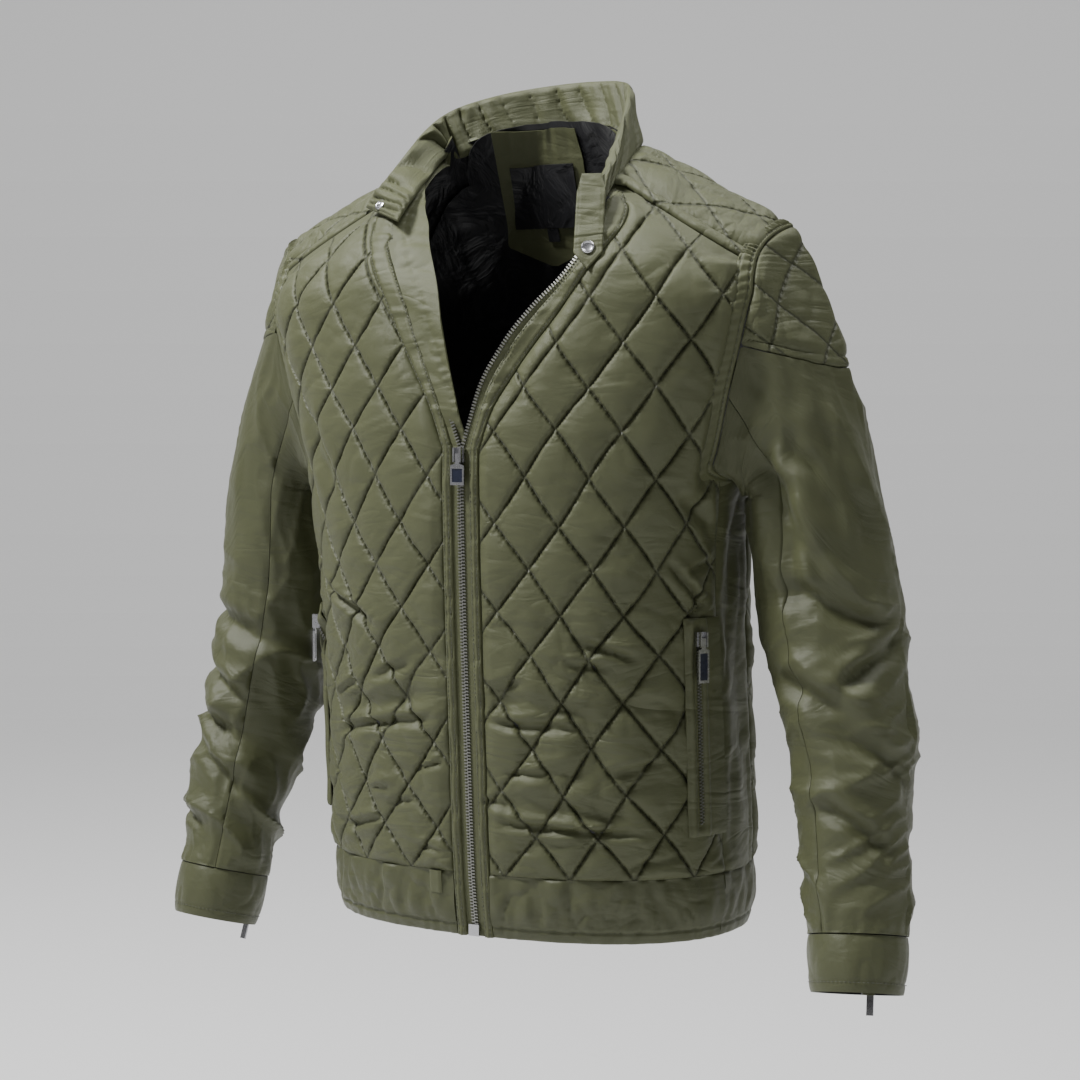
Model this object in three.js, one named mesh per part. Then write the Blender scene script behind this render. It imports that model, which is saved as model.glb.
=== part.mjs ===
// A quilted, padded jacket filled out as it is worn, with an open front zip.
// Millimetres, +Z up. The front faces -Y and the wearer's left is +X.
// The origin lies between the shoulders, level with the base of the neck.
import * as THREE from "three";

// Heights of the seams that run round the body
const HEM_EDGE = -607;
const HEM_SEAM = -557;
const UNDERARM = -251;
const YOKE_CORNER = -115;
const YOKE_NECK = -13;
const NECK_BACK = 30;
const ZIP_OPEN = -228;

// Cloth
const WALL = 2.4;
const SEAM_GAP = 0.3;
const PUFF = 4.2;
const DIAMOND_WIDTH = 50;
const DIAMOND_HEIGHT = 68;
const COLUMN = DIAMOND_WIDTH / 4;
const ROW = DIAMOND_HEIGHT / 4;

// Front closure
const ZIP_X = 5;
const TAPE_WIDTH = 7;
const PLACKET_CLOSED = 8.5;
const ZIP_CLEARANCE = 0.5;

// Body sections from hem to neck: half width, and how far front, back and sides lie along Y
const TORSO = [
  { height: -607, halfWidth: 171, front: -90, back: 142, middle: 27 },
  { height: -557, halfWidth: 175, front: -97, back: 147, middle: 27 },
  { height: -450, halfWidth: 175, front: -104, back: 138, middle: 21 },
  { height: -345, halfWidth: 176, front: -110, back: 124, middle: 12 },
  { height: -251, halfWidth: 184, front: -113, back: 114, middle: 4 },
  { height: -180, halfWidth: 206, front: -110, back: 106, middle: 0 },
  { height: -115, halfWidth: 226, front: -103, back: 94, middle: 0 },
  { height: -60, halfWidth: 238, front: -97, back: 76, middle: 0 },
  { height: -20, halfWidth: 239, front: -93, back: 61, middle: 0 },
  { height: 30, halfWidth: 240, front: -90, back: 46, middle: 0 },
];
const SQUARENESS = 2.3;
const SHOULDER_ROUND = { neck: 105, point: 76, start: 90 };
const SHOULDER_BEND = 1.6;
const SHOULDER_SLOPE = 1.3;
const RIDGE_NECK = 6;
const RIDGE_POINT = -62;
const NECK_RISE = 1.5;
const NECK_FALL = 0.5;
const NECK_HALF = { left: 100, right: 83 };
const SHOULDER_POINT = 226;

// The armhole seam on the body, front and back, as half widths at heights
const ARMHOLE_FRONT = [
  { height: -251, x: 176 },
  { height: -235, x: 180 },
  { height: -210, x: 187 },
  { height: -180, x: 195 },
  { height: -150, x: 203 },
  { height: -115, x: 211 },
];
const ARMHOLE_BACK = [
  { height: -251, x: 176 },
  { height: -235, x: 181 },
  { height: -210, x: 190 },
  { height: -180, x: 199 },
  { height: -150, x: 206 },
  { height: -115, x: 213 },
];

// The zip edge and neckline of each front, as half widths at heights
const OPENING = {
  left: [
    { height: -228, x: 5 },
    { height: -215, x: 9 },
    { height: -181, x: 20 },
    { height: -151, x: 37 },
    { height: -121, x: 60 },
    { height: -86, x: 91 },
    { height: -58, x: 101 },
    { height: -30, x: 103 },
    { height: -13, x: 100 },
  ],
  right: [
    { height: -228, x: -5 },
    { height: -215, x: 0 },
    { height: -192, x: 8 },
    { height: -148, x: 28 },
    { height: -110, x: 46 },
    { height: -73, x: 68 },
    { height: -50, x: 77 },
    { height: -31, x: 77 },
    { height: -13, x: 84 },
  ],
};
const ZIP_TOP = { left: -85, right: -73 };

// Where the quilting of each front begins, beyond its plain placket
const PLACKET_EDGE = {
  left: [
    { height: -228, x: 21.5 },
    { height: -195, x: 33 },
    { height: -162, x: 54 },
    { height: -120, x: 86 },
    { height: -85, x: 110 },
    { height: -63, x: 121 },
    { height: -48, x: 120 },
    { height: -34, x: 110 },
  ],
  right: [
    { height: -228, x: 11.5 },
    { height: -195, x: 25 },
    { height: -148, x: 52 },
    { height: -110, x: 73 },
    { height: -73, x: 94 },
    { height: -50, x: 101 },
  ],
};
const PLACKET_TOP = { left: -36, right: -50 };

// The back neckline, as distances in from the neck's side at heights
const NECKLINE_BACK = [
  { height: -13, inset: 3 },
  { height: 0, inset: 5 },
  { height: 12, inset: 11 },
  { height: 22, inset: 25 },
  { height: 28, inset: 50 },
  { height: 30, inset: 78 },
];

// Sleeve sections from the bicep to the cuff edge: centre and half sizes
const ARM = [
  { station: 0.3, x: 245, y: 18, z: -262, across: 46, deep: 50 },
  { station: 0.45, x: 254, y: 25, z: -345, across: 50, deep: 52 },
  { station: 0.6, x: 268, y: 20, z: -425, across: 48, deep: 51 },
  { station: 0.75, x: 279, y: 8, z: -500, across: 43, deep: 45 },
  { station: 0.9, x: 288, y: -8, z: -576, across: 38, deep: 39.5 },
  { station: 1, x: 293, y: -22, z: -634, across: 34, deep: 36 },
];
const HEAD_STATION = 0.3;
const CUFF_STATION = 0.93;
const PATCH_SEAM = { level: -159, outside: -9 };
const PATCH_END = 2.5;
const RING_STEP = 12;
const SEAM_FRONT = 112;
const SEAM_BACK = 236;

// Soft troughs and ridges: where, which way they run, and their length, width and depth
const BODY_CREASES = {
  left: [
    { along: 62, height: -150, turn: 62, length: 150, width: 15, depth: -7 },
    { along: 150, height: -395, turn: -8, length: 150, width: 12, depth: -4 },
    { along: 95, height: -487, turn: -4, length: 130, width: 11, depth: -4.5 },
    { along: 205, height: -300, turn: -50, length: 110, width: 12, depth: -4 },
  ],
  right: [
    { along: 120, height: -352, turn: 22, length: 110, width: 11, depth: -4.5 },
    { along: 75, height: -445, turn: 6, length: 120, width: 10, depth: -4 },
    { along: 200, height: -300, turn: 82, length: 150, width: 13, depth: -5 },
    { along: 215, height: -410, turn: -55, length: 90, width: 12, depth: -4.5 },
  ],
};
const BACK_CREASES = [
  { along: 60, height: -330, turn: -12, length: 170, width: 14, depth: -4 },
  { along: -75, height: -380, turn: 14, length: 160, width: 13, depth: -4 },
  { along: -20, height: -470, turn: 4, length: 180, width: 12, depth: -3.5 },
];
const SLEEVE_CREASES = {
  left: [
    { angle: 40, station: 0.3, turn: 74, length: 150, width: 13, depth: -4.5 },
    { angle: 75, station: 0.46, turn: 30, length: 110, width: 14, depth: -7 },
    { angle: 30, station: 0.55, turn: -32, length: 90, width: 12, depth: -6 },
    { angle: 95, station: 0.6, turn: 42, length: 120, width: 13, depth: -6.5 },
    { angle: 50, station: 0.68, turn: 34, length: 110, width: 12, depth: -6 },
    { angle: 70, station: 0.79, turn: 36, length: 90, width: 11, depth: -5 },
    { angle: 215, station: 0.5, turn: -25, length: 120, width: 13, depth: -6 },
    { angle: 260, station: 0.66, turn: 20, length: 110, width: 12, depth: -5.5 },
    { angle: 300, station: 0.4, turn: 60, length: 120, width: 13, depth: -5 },
  ],
  right: [
    { angle: 330, station: 0.38, turn: 70, length: 160, width: 13, depth: -4.5 },
    { angle: 60, station: 0.53, turn: -14, length: 120, width: 13, depth: -7 },
    { angle: 50, station: 0.62, turn: -22, length: 120, width: 12, depth: -7 },
    { angle: 45, station: 0.69, turn: -18, length: 120, width: 12, depth: -6.5 },
    { angle: 85, station: 0.77, turn: -30, length: 110, width: 12, depth: -6 },
    { angle: 35, station: 0.86, turn: -12, length: 90, width: 10, depth: -4.5 },
    { angle: 215, station: 0.5, turn: 25, length: 120, width: 13, depth: -6 },
    { angle: 255, station: 0.68, turn: -20, length: 110, width: 12, depth: -5.5 },
  ],
};

// The stand collar: where its seam runs on the body, and the points of its top edge
const COLLAR = [
  { side: -1, panel: "front", height: -50, out: 14, x: -112, y: -62, z: -39 },
  { side: -1, panel: "front", height: -41, out: 13.8, x: -107, y: -59, z: -29 },
  { side: -1, panel: "front", height: -27, out: 10, x: -100, y: -48, z: -14 },
  { side: -1, panel: "yoke", height: 0, out: 0, x: -88, y: -12, z: 24 },
  { side: -1, panel: "back", height: 13, out: 0, x: -77, y: 10, z: 42 },
  { side: -1, panel: "back", height: 27, out: 0, x: -46, y: 31, z: 55 },
  { side: 1, panel: "back", height: 30, out: 0, x: 3, y: 43, z: 62 },
  { side: 1, panel: "back", height: 27, out: 0, x: 45, y: 38, z: 62 },
  { side: 1, panel: "back", height: 13, out: 0, x: 73, y: 25, z: 58 },
  { side: 1, panel: "yoke", height: 0, out: 0, x: 87, y: 4, z: 46 },
  { side: 1, panel: "front", height: -28, out: 0, x: 93, y: -26, z: 9 },
  { side: 1, panel: "front", height: -46, out: 0, x: 96, y: -49, z: -15 },
  { side: 1, panel: "front", height: -64, out: 0, x: 94, y: -70, z: -34 },
];
const COLLAR_WALL = 3.6;
const GATHER_PITCH = 16;
const GATHER_DEPTH = 1.6;

// Pocket on each front: where its zip runs, and the plain patch round it
const POCKET = {
  along: 178,
  top: -365,
  bottom: -517,
  patchWidth: 46,
  patchWall: 1.2,
  zipInset: 11,
};

const SHELL = { color: 0x7e8566, roughness: 0.55, metalness: 0 };
const SATIN = { color: 0x1c1c1f, roughness: 0.4, metalness: 0 };
const TAPE = { color: 0x4a5238, roughness: 0.8, metalness: 0 };
const STEEL = { color: 0x8d9096, roughness: 0.25, metalness: 1 };

const degrees = THREE.MathUtils.degToRad;
const clamp = THREE.MathUtils.clamp;
const lerp = THREE.MathUtils.lerp;
const smooth = (x) => THREE.MathUtils.smoothstep(x, 0, 1);

// A column of a table at a key between its rows, on a smooth curve through them.
function tableAt(table, key, column, at) {
  const last = table.length - 1;
  let i = 0;
  while (i < last - 1 && at > table[i + 1][key]) i++;
  const row = (k) => table[clamp(k, 0, last)];
  const span = table[i + 1][key] - table[i][key];
  const t = clamp((at - table[i][key]) / span, 0, 1);
  const slope = (k) => {
    const a = row(k - 1);
    const b = row(k + 1);
    return ((b[column] - a[column]) / (b[key] - a[key])) * span;
  };
  const p0 = table[i][column];
  const p1 = table[i + 1][column];
  const m0 = slope(i);
  const m1 = slope(i + 1);
  const t2 = t * t;
  const t3 = t2 * t;
  const rise = 3 * t2 - 2 * t3;
  return (1 - rise) * p0 + rise * p1 + (t3 - 2 * t2 + t) * m0 + (t3 - t2) * m1;
}

const sideName = (side) => (side > 0 ? "left" : "right");

const neckHalf = (side) => NECK_HALF[sideName(side)];

// Height of the shoulder's ridge at x. Inside the neck's side the back rises and the front falls.
function ridge(x, onBack) {
  const neck = neckHalf(x);
  const out = Math.abs(x) - neck;
  if (out < 0) return RIDGE_NECK - out * (onBack ? NECK_RISE : -NECK_FALL);
  return lerp(RIDGE_NECK, RIDGE_POINT, out / (SHOULDER_POINT - neck));
}

// How far below the ridge the shoulder's rounding reaches.
function shoulderRound(x) {
  const { neck, point, start } = SHOULDER_ROUND;
  return lerp(neck, point, clamp((Math.abs(x) - start) / (SHOULDER_POINT - start), 0, 1));
}

// Share of the body's depth at a turn away from the ridge.
function depthAtTurn(turn) {
  return (1 - Math.max(Math.cos(turn), 0) ** SHOULDER_BEND) ** (1 / SHOULDER_SLOPE);
}

// How much of the body's depth is left this near the ridge.
function depthShare(x, height, onBack) {
  const below = clamp((ridge(x, onBack) - height) / shoulderRound(x), 0, 1);
  return depthAtTurn(Math.acos(1 - below));
}

function bodyAt(height) {
  const at = (column) => tableAt(TORSO, "height", column, height);
  return { halfWidth: at("halfWidth"), front: at("front"), back: at("back"), middle: at("middle") };
}

// One level section of the body as points with their distance from the front's middle.
const RING_SAMPLES = 120;
const rings = new Map();
function ring(side, height) {
  const key = sideName(side) + height.toFixed(3);
  if (rings.has(key)) return rings.get(key);
  const body = bodyAt(height);
  const points = [];
  for (let i = 0; i <= RING_SAMPLES; i++) {
    const angle = (Math.PI * i) / RING_SAMPLES;
    const x = body.halfWidth * Math.abs(Math.sin(angle)) ** (2 / SQUARENESS);
    const share = depthShare(side * x, height, 2 * i > RING_SAMPLES);
    const reach = share * Math.abs(Math.cos(angle)) ** (2 / SQUARENESS);
    const toward = Math.cos(angle) >= 0 ? body.front : body.back;
    const y = body.middle + (toward - body.middle) * reach;
    const before = points[i - 1];
    const along = before ? before.along + Math.hypot(x - before.x, y - before.y) : 0;
    points.push({ x, y, along });
  }
  rings.set(key, points);
  return points;
}

// The point this far round from the front's middle. A distance below 0 lies on the other side.
function bodyPoint(side, along, height) {
  const here = along < 0 ? -side : side;
  const points = ring(here, height);
  const distance = Math.min(Math.abs(along), points[RING_SAMPLES].along);
  let i = 0;
  while (i < RING_SAMPLES - 1 && points[i + 1].along < distance) i++;
  const a = points[i];
  const b = points[i + 1];
  const t = (distance - a.along) / (b.along - a.along || 1);
  return new THREE.Vector3(here * lerp(a.x, b.x, t), lerp(a.y, b.y, t), height);
}

const roundLength = (side, height) => ring(side, height)[RING_SAMPLES].along;

// Distance round to where the section passes x, on its front or back half.
function alongAtX(side, x, height, onBack = false) {
  if (x < 0) return x;
  const points = ring(side, height);
  const half = RING_SAMPLES / 2;
  for (let i = 0; i < half; i++) {
    const a = onBack ? points[RING_SAMPLES - i] : points[i];
    const b = onBack ? points[RING_SAMPLES - i - 1] : points[i + 1];
    if (b.x >= x) return lerp(a.along, b.along, (x - a.x) / (b.x - a.x || 1));
  }
  return points[half].along;
}

// Height of one soft trough or ridge at a point measured across and along it.
function creaseAt(row, dx, dy) {
  const angle = degrees(row.turn);
  const along = dx * Math.cos(angle) + dy * Math.sin(angle);
  const across = -dx * Math.sin(angle) + dy * Math.cos(angle);
  const taper = clamp(1 - Math.abs(along) / (row.length / 2), 0, 1);
  return row.depth * Math.exp(-((across / row.width) ** 2)) * smooth(taper * 1.6);
}

const creaseSum = (rows, along, height) =>
  rows.reduce((sum, row) => sum + creaseAt(row, along - row.along, height - row.height), 0);

// Height of the quilting's diamonds: nothing on the stitch lines, full in each middle.
function quilt(across, up) {
  const u = across / DIAMOND_WIDTH;
  const v = up / DIAMOND_HEIGHT;
  const share = (x) => Math.sin(Math.PI * (x - Math.floor(x)));
  return PUFF * Math.sqrt(Math.max(share(u + v) * share(u - v), 0));
}

// A closed mesh from points and triangles, turned so that its faces point out.
function closedGeometry(points, triangles) {
  let volume = 0;
  const cross = new THREE.Vector3();
  for (const [a, b, c] of triangles) {
    volume += cross.crossVectors(points[b], points[c]).dot(points[a]);
  }
  const index = volume < 0 ? triangles.flatMap(([a, b, c]) => [a, c, b]) : triangles.flat();
  const geometry = new THREE.BufferGeometry().setFromPoints(points);
  geometry.setIndex(index);
  geometry.computeVertexNormals();
  return geometry;
}

// Triangles between two chains of vertices, each with a rising mark.
function zipChains(a, b, add) {
  let i = 0;
  let j = 0;
  while (i < a.length - 1 || j < b.length - 1) {
    const takeA = j === b.length - 1 || (i < a.length - 1 && a[i + 1].mark <= b[j + 1].mark);
    if (takeA) {
      add(a[i].id, a[i + 1].id, b[j].id);
      i++;
    } else {
      add(a[i].id, b[j + 1].id, b[j].id);
      j++;
    }
  }
}

// A wall of cloth over a patch. Its outer face follows place(u, v) raised by raise(u, v), on a
// lattice of columns and rows. Its plain inner face has 1 in every fine of each.
function clothWall(patch) {
  const { rows, left, right, step, place, raise = () => 0, wall = WALL, flip = 1, fine = 2 } = patch;
  const depth = typeof wall === "function" ? wall : () => wall;
  const points = [];
  const triangles = [];
  const add = (a, b, c) => triangles.push([a, b, c]);
  const normal = (u, v) => {
    const e = patch.nudge ?? 0.5;
    const ev = patch.nudgeV ?? e;
    const du = place(u + e, v).sub(place(u - e, v));
    const dv = place(u, v + ev).sub(place(u, v - ev));
    return du.cross(dv).normalize().multiplyScalar(flip);
  };
  const layer = (levels, spacing, offset) =>
    levels.map((v) => {
      const [from, to] = [left(v), right(v)];
      const marks = [from];
      const first = Math.ceil(from / spacing + 0.35);
      for (let k = first; k * spacing < to - 0.35 * spacing; k++) marks.push(k * spacing);
      marks.push(to);
      return marks.map((u) => {
        points.push(place(u, v).addScaledVector(normal(u, v), offset(u, v)));
        return { id: points.length - 1, mark: u, u, v };
      });
    });
  const keep = patch.keep ?? [];
  const coarse = rows.filter((v, i) => i % fine === 0 || i === rows.length - 1 || keep.includes(v));
  const outer = layer(rows, step, (u, v) => raise(u, v));
  const inner = layer(coarse, step * fine, (u, v) => -depth(v));

  // Between two rows, equal columns make a quad, cut along the diagonal that lies nearest the form.
  const sew = (low, high, turn) => {
    let i = 0;
    let j = 0;
    const tri = (a, b, c) => (turn ? add(a, c, b) : add(a, b, c));
    while (i < low.length - 1 || j < high.length - 1) {
      const a = low[i];
      const b = low[i + 1];
      const c = high[j];
      const d = high[j + 1];
      if (b && d && Math.abs(b.mark - d.mark) < 1e-6 && Math.abs(a.mark - c.mark) < step * 1.5) {
        const middle = raise((a.u + b.u) / 2, (a.v + c.v) / 2);
        const errorAD = Math.abs((raise(a.u, a.v) + raise(d.u, d.v)) / 2 - middle);
        const errorBC = Math.abs((raise(b.u, b.v) + raise(c.u, c.v)) / 2 - middle);
        if (errorAD <= errorBC) {
          tri(a.id, b.id, d.id);
          tri(a.id, d.id, c.id);
        } else {
          tri(a.id, b.id, c.id);
          tri(b.id, d.id, c.id);
        }
        i++;
        j++;
      } else if (!d || (b && b.mark <= d.mark)) {
        tri(a.id, b.id, c.id);
        i++;
      } else {
        tri(a.id, d.id, c.id);
        j++;
      }
    }
  };
  for (let r = 0; r < outer.length - 1; r++) sew(outer[r], outer[r + 1], false);
  for (let r = 0; r < inner.length - 1; r++) sew(inner[r], inner[r + 1], true);

  // The rim joins the two faces along the four sides.
  const edge = (grid, pick) => grid.map((row) => ({ id: pick(row).id, mark: pick(row).v }));
  const first = (row) => row[0];
  const last = (row) => row[row.length - 1];
  zipChains(inner[0], outer[0], add);
  zipChains(last(outer), last(inner), add);
  zipChains(edge(inner, last), edge(outer, last), add);
  zipChains(edge(outer, first), edge(inner, first), add);
  return closedGeometry(points, triangles);
}

// Rows from low to high at the quilting's pitch, with the exact ends.
function rowsBetween(low, high, pitch = ROW, extra = []) {
  const rows = [low];
  const first = Math.ceil((low - HEM_SEAM) / pitch + 0.3);
  const last = Math.ceil((high - HEM_SEAM) / pitch - 0.3);
  for (let k = first; k < last; k++) rows.push(HEM_SEAM + k * pitch);
  rows.push(high, ...extra);
  return rows.sort((a, b) => a - b);
}

const jacket = new THREE.Group();

function addPart(name, geometry, look, parent = jacket) {
  const mesh = new THREE.Mesh(geometry, new THREE.MeshStandardMaterial(look));
  mesh.name = name;
  parent.add(mesh);
  return mesh;
}

// Distance round to the zip edge of a front. Below the slider the two edges meet.
function zipEdge(side, height) {
  const table = OPENING[sideName(side)];
  const x = height <= ZIP_OPEN ? side * ZIP_X : tableAt(table, "height", "x", height);
  return alongAtX(side, x + ZIP_CLEARANCE, height);
}

const opened = (side, height) => smooth((height - ZIP_OPEN) / (ZIP_TOP[sideName(side)] - ZIP_OPEN));

// Above the zip's top the placket's inner edge runs along the neckline.
function placketInner(side, height) {
  const above = clamp((height - ZIP_TOP[sideName(side)]) / 6, 0, 1);
  return zipEdge(side, height) + lerp(TAPE_WIDTH, 1, above);
}

function placketOuter(side, height) {
  if (height <= ZIP_OPEN) return placketInner(side, height) + PLACKET_CLOSED;
  return alongAtX(side, tableAt(PLACKET_EDGE[sideName(side)], "height", "x", height), height);
}

// Distance round to the side seam between front and side panel, and between side panel and back.
const SIDE_SEAM_FRONT = 0.448;
const SIDE_SEAM_BACK = 0.57;
const sideSeamFront = (side, height) => roundLength(side, height) * SIDE_SEAM_FRONT;
const sideSeamBack = (side, height) => roundLength(side, height) * SIDE_SEAM_BACK;

// The seam below the yoke falls straight from the neck to the armhole.
function yokeX(neckX, cornerX, height) {
  return lerp(neckX, cornerX, (YOKE_NECK - height) / (YOKE_NECK - YOKE_CORNER));
}
const cornerFrontX = ARMHOLE_FRONT[ARMHOLE_FRONT.length - 1].x;
const cornerBackX = ARMHOLE_BACK[ARMHOLE_BACK.length - 1].x;
const yokeFrontX = (side) => neckHalf(side) + 8;
const yokeBackX = (side) => neckHalf(side) + 1;
const yokeGap = (height) => lerp(0.8, 2.6, clamp((height + 60) / 45, 0, 1));

// Body surface with its creases, seen from each front's own middle.
function frontPlace(side) {
  const creases = BODY_CREASES[sideName(side)];
  return (u, v) => {
    const point = bodyPoint(side, u, v);
    const middle = new THREE.Vector3(0, bodyAt(v).middle, v);
    const out = point.clone().sub(middle).normalize();
    return point.addScaledVector(out, creaseSum(creases, u, v));
  };
}

// Quilted front, from the placket to the side seam and armhole, and up to the yoke.
function front(side) {
  const name = sideName(side);
  const left = (v) => {
    const tight = clamp((v - ZIP_TOP[name] + 50) / 40, 0, 1);
    if (v < PLACKET_TOP[name] + 1) return placketOuter(side, v) + lerp(SEAM_GAP, 1.4, tight);
    return alongAtX(side, tableAt(OPENING[name], "height", "x", v) + 2, v);
  };
  const right = (v) => {
    if (v < UNDERARM) return sideSeamFront(side, v) - SEAM_GAP;
    const x =
      v < YOKE_CORNER
        ? tableAt(ARMHOLE_FRONT, "height", "x", v)
        : yokeX(yokeFrontX(side), cornerFrontX, v) - yokeGap(v);
    const armhole = alongAtX(side, x, v) - SEAM_GAP;
    const seam = sideSeamFront(side, v) - SEAM_GAP;
    return lerp(seam, armhole, smooth((v - UNDERARM) / 14));
  };
  const corners = [UNDERARM + 6, PLACKET_TOP[name] + 0.7, PLACKET_TOP[name] + 1.4];
  const rows = rowsBetween(HEM_SEAM + SEAM_GAP, YOKE_NECK - 8, ROW, corners);
  const geometry = clothWall({
    rows,
    keep: rows.filter((v) => v > ZIP_TOP[name] - 30),
    left,
    right: (v) => Math.max(right(v), left(v) + 2),
    step: COLUMN,
    place: frontPlace(side),
    raise: (u, v) => quilt(u, v - HEM_SEAM) * edgeFade(u, v, left, right),
    flip: side,
  });
  addPart("front_" + name, geometry, SHELL);
}

// The quilting flattens where a panel is sewn to its neighbours.
const SEAM_FLAT = 7;
function edgeFade(u, v, left, right) {
  const near = Math.min(u - left(v), right(v) - u, v - HEM_SEAM);
  return clamp(near / SEAM_FLAT, 0, 1);
}

// Plain side panel between the side seams, from the hem up to the armhole.
function sidePanel(side) {
  addPart(
    "side_" + sideName(side),
    clothWall({
      rows: rowsBetween(HEM_SEAM + SEAM_GAP, UNDERARM - SEAM_GAP, 2 * ROW),
      left: (v) => sideSeamFront(side, v) + SEAM_GAP,
      right: (v) => sideSeamBack(side, v) - SEAM_GAP,
      step: 2 * COLUMN,
      place: (u, v) => bodyPoint(side, u, v),
      flip: side,
      fine: 1,
    }),
    SHELL,
  );
}

// The back's surface, measured from its own middle: positive towards the wearer's left.
function backPlace(u, v) {
  const side = u < 0 ? -1 : 1;
  const point = bodyPoint(side, roundLength(side, v) - Math.abs(u), v);
  const out = point.clone().sub(new THREE.Vector3(0, bodyAt(v).middle, v)).normalize();
  return point.addScaledVector(out, creaseSum(BACK_CREASES, u, v));
}

// How far the back panel reaches to one side of its middle.
function backReach(side, v) {
  const total = roundLength(side, v);
  const seam = total - sideSeamBack(side, v);
  if (v < UNDERARM) return seam - SEAM_GAP;
  let x = tableAt(ARMHOLE_BACK, "height", "x", v);
  if (v > YOKE_NECK) x = neckHalf(side) - tableAt(NECKLINE_BACK, "height", "inset", v);
  else if (v > YOKE_CORNER) x = yokeX(yokeBackX(side), cornerBackX, v) - yokeGap(v);
  const reach = total - alongAtX(side, x, v, true) - SEAM_GAP;
  return lerp(seam, reach, smooth((v - UNDERARM) / 14));
}

// Quilted back in one piece, from the hem to the neckline.
function back() {
  const left = (v) => -backReach(-1, v);
  const right = (v) => backReach(1, v);
  const raised = (u, v) => {
    const atNeck = smooth((NECK_BACK - v) / 12);
    return quilt(u, v - HEM_SEAM) * edgeFade(u, v, left, right) * atNeck;
  };
  const corners = [UNDERARM + 6, YOKE_NECK - 3, 3, NECK_BACK - 7];
  const rows = rowsBetween(HEM_SEAM + SEAM_GAP, NECK_BACK, 2 * ROW, corners);
  const geometry = clothWall({
    rows,
    left,
    right,
    step: 2 * COLUMN,
    place: backPlace,
    raise: raised,
    flip: -1,
    fine: 1,
  });
  addPart("back", geometry, SHELL);
}

// A point of the yoke: x from neck to shoulder point, turn from the front over the ridge.
function yokePoint(side, x, turn) {
  const height = ridge(side * x, turn > 0) - shoulderRound(x) * (1 - Math.cos(turn));
  const body = bodyAt(height);
  const toward = turn < 0 ? body.front : body.back;
  const width = Math.max(1 - (x / body.halfWidth) ** SQUARENESS, 0) ** (1 / SQUARENESS);
  const y = body.middle + (toward - body.middle) * width * depthAtTurn(turn);
  return new THREE.Vector3(side * x, y, height);
}

// The turn at which the yoke meets a seam that falls from the neck to the armhole corner.
function yokeTurn(side, x, neckX, cornerX) {
  const share = clamp((x - neckX) / (cornerX - neckX), 0, 1);
  const seam = lerp(YOKE_NECK, YOKE_CORNER, share);
  return Math.acos(clamp(1 - (ridge(side * x, false) - seam) / shoulderRound(x), -1, 1));
}

// Quilted yoke over one shoulder.
const YOKE_NECK_GAP = 3;
function yoke(side) {
  const from = neckHalf(side) + YOKE_NECK_GAP;
  const reachFront = (x) => yokeTurn(side, x, yokeFrontX(side), cornerFrontX);
  const reachBack = (x) => yokeTurn(side, x, yokeBackX(side), cornerBackX);
  const columns = 10;
  const step = (SHOULDER_POINT - from) / columns;
  const shoulderEdge = (turn) => {
    const low = turn < 0 ? ARMHOLE_FRONT : ARMHOLE_BACK;
    const height = RIDGE_POINT - SHOULDER_ROUND.point * (1 - Math.cos(turn));
    const share = clamp((height - YOKE_CORNER) / (RIDGE_POINT - YOKE_CORNER), 0, 1);
    return lerp(low.at(-1).x, SHOULDER_POINT, share);
  };
  // Rows run across the ridge at even shares, so u is the share of the turn and v the distance out.
  const place = (u, v) => {
    const limit = u < 0 ? -reachFront(v) : reachBack(v);
    const turn = Math.abs(u) * limit * 0.985;
    const pull = clamp((v - SHOULDER_POINT + 40) / 40, 0, 1) ** 2;
    const x = lerp(v, Math.min(v, shoulderEdge(turn) - 0.4), pull);
    return yokePoint(side, x, turn);
  };
  const levels = Array.from({ length: columns + 1 }, (_, i) => from + i * step);
  const across = (u) => u * 75;
  const geometry = clothWall({
    rows: levels,
    left: () => -1,
    right: () => 1,
    step: 1 / 6,
    place,
    raise: (u, v) => {
      const near = Math.min((1 - Math.abs(u)) * 60, v - from, SHOULDER_POINT - v) / SEAM_FLAT;
      return 0.75 * quilt(v - from, across(u)) * clamp(near, 0, 1);
    },
    nudge: 0.01,
    nudgeV: 0.5,
    flip: -side,
  });
  addPart("yoke_" + sideName(side), geometry, SHELL);
}

// The waistband in three lengths: one below each front and one round the back.
function waistband() {
  const rows = [HEM_EDGE, (HEM_EDGE + HEM_SEAM) / 2, HEM_SEAM - SEAM_GAP];
  const swell = (v) => 2.2 * Math.sin((Math.PI * (v - HEM_EDGE)) / (HEM_SEAM - HEM_EDGE));
  for (const side of [1, -1]) {
    const geometry = clothWall({
      rows,
      left: (v) => placketOuter(side, v) + SEAM_GAP,
      right: (v) => sideSeamFront(side, v) - SEAM_GAP,
      step: 2 * COLUMN,
      place: (u, v) => bodyPoint(side, u, v),
      raise: (u, v) => swell(v),
      flip: side,
      fine: 1,
    });
    addPart("waistband_" + sideName(side), geometry, SHELL);
  }
  const reach = (side, v) => roundLength(side, v) - sideSeamFront(side, v) - SEAM_GAP;
  const geometry = clothWall({
    rows,
    left: (v) => -reach(-1, v),
    right: (v) => reach(1, v),
    step: 2 * COLUMN,
    place: backPlace,
    raise: (u, v) => swell(v),
    flip: -1,
    fine: 1,
  });
  addPart("waistband_back", geometry, SHELL);
}

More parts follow.
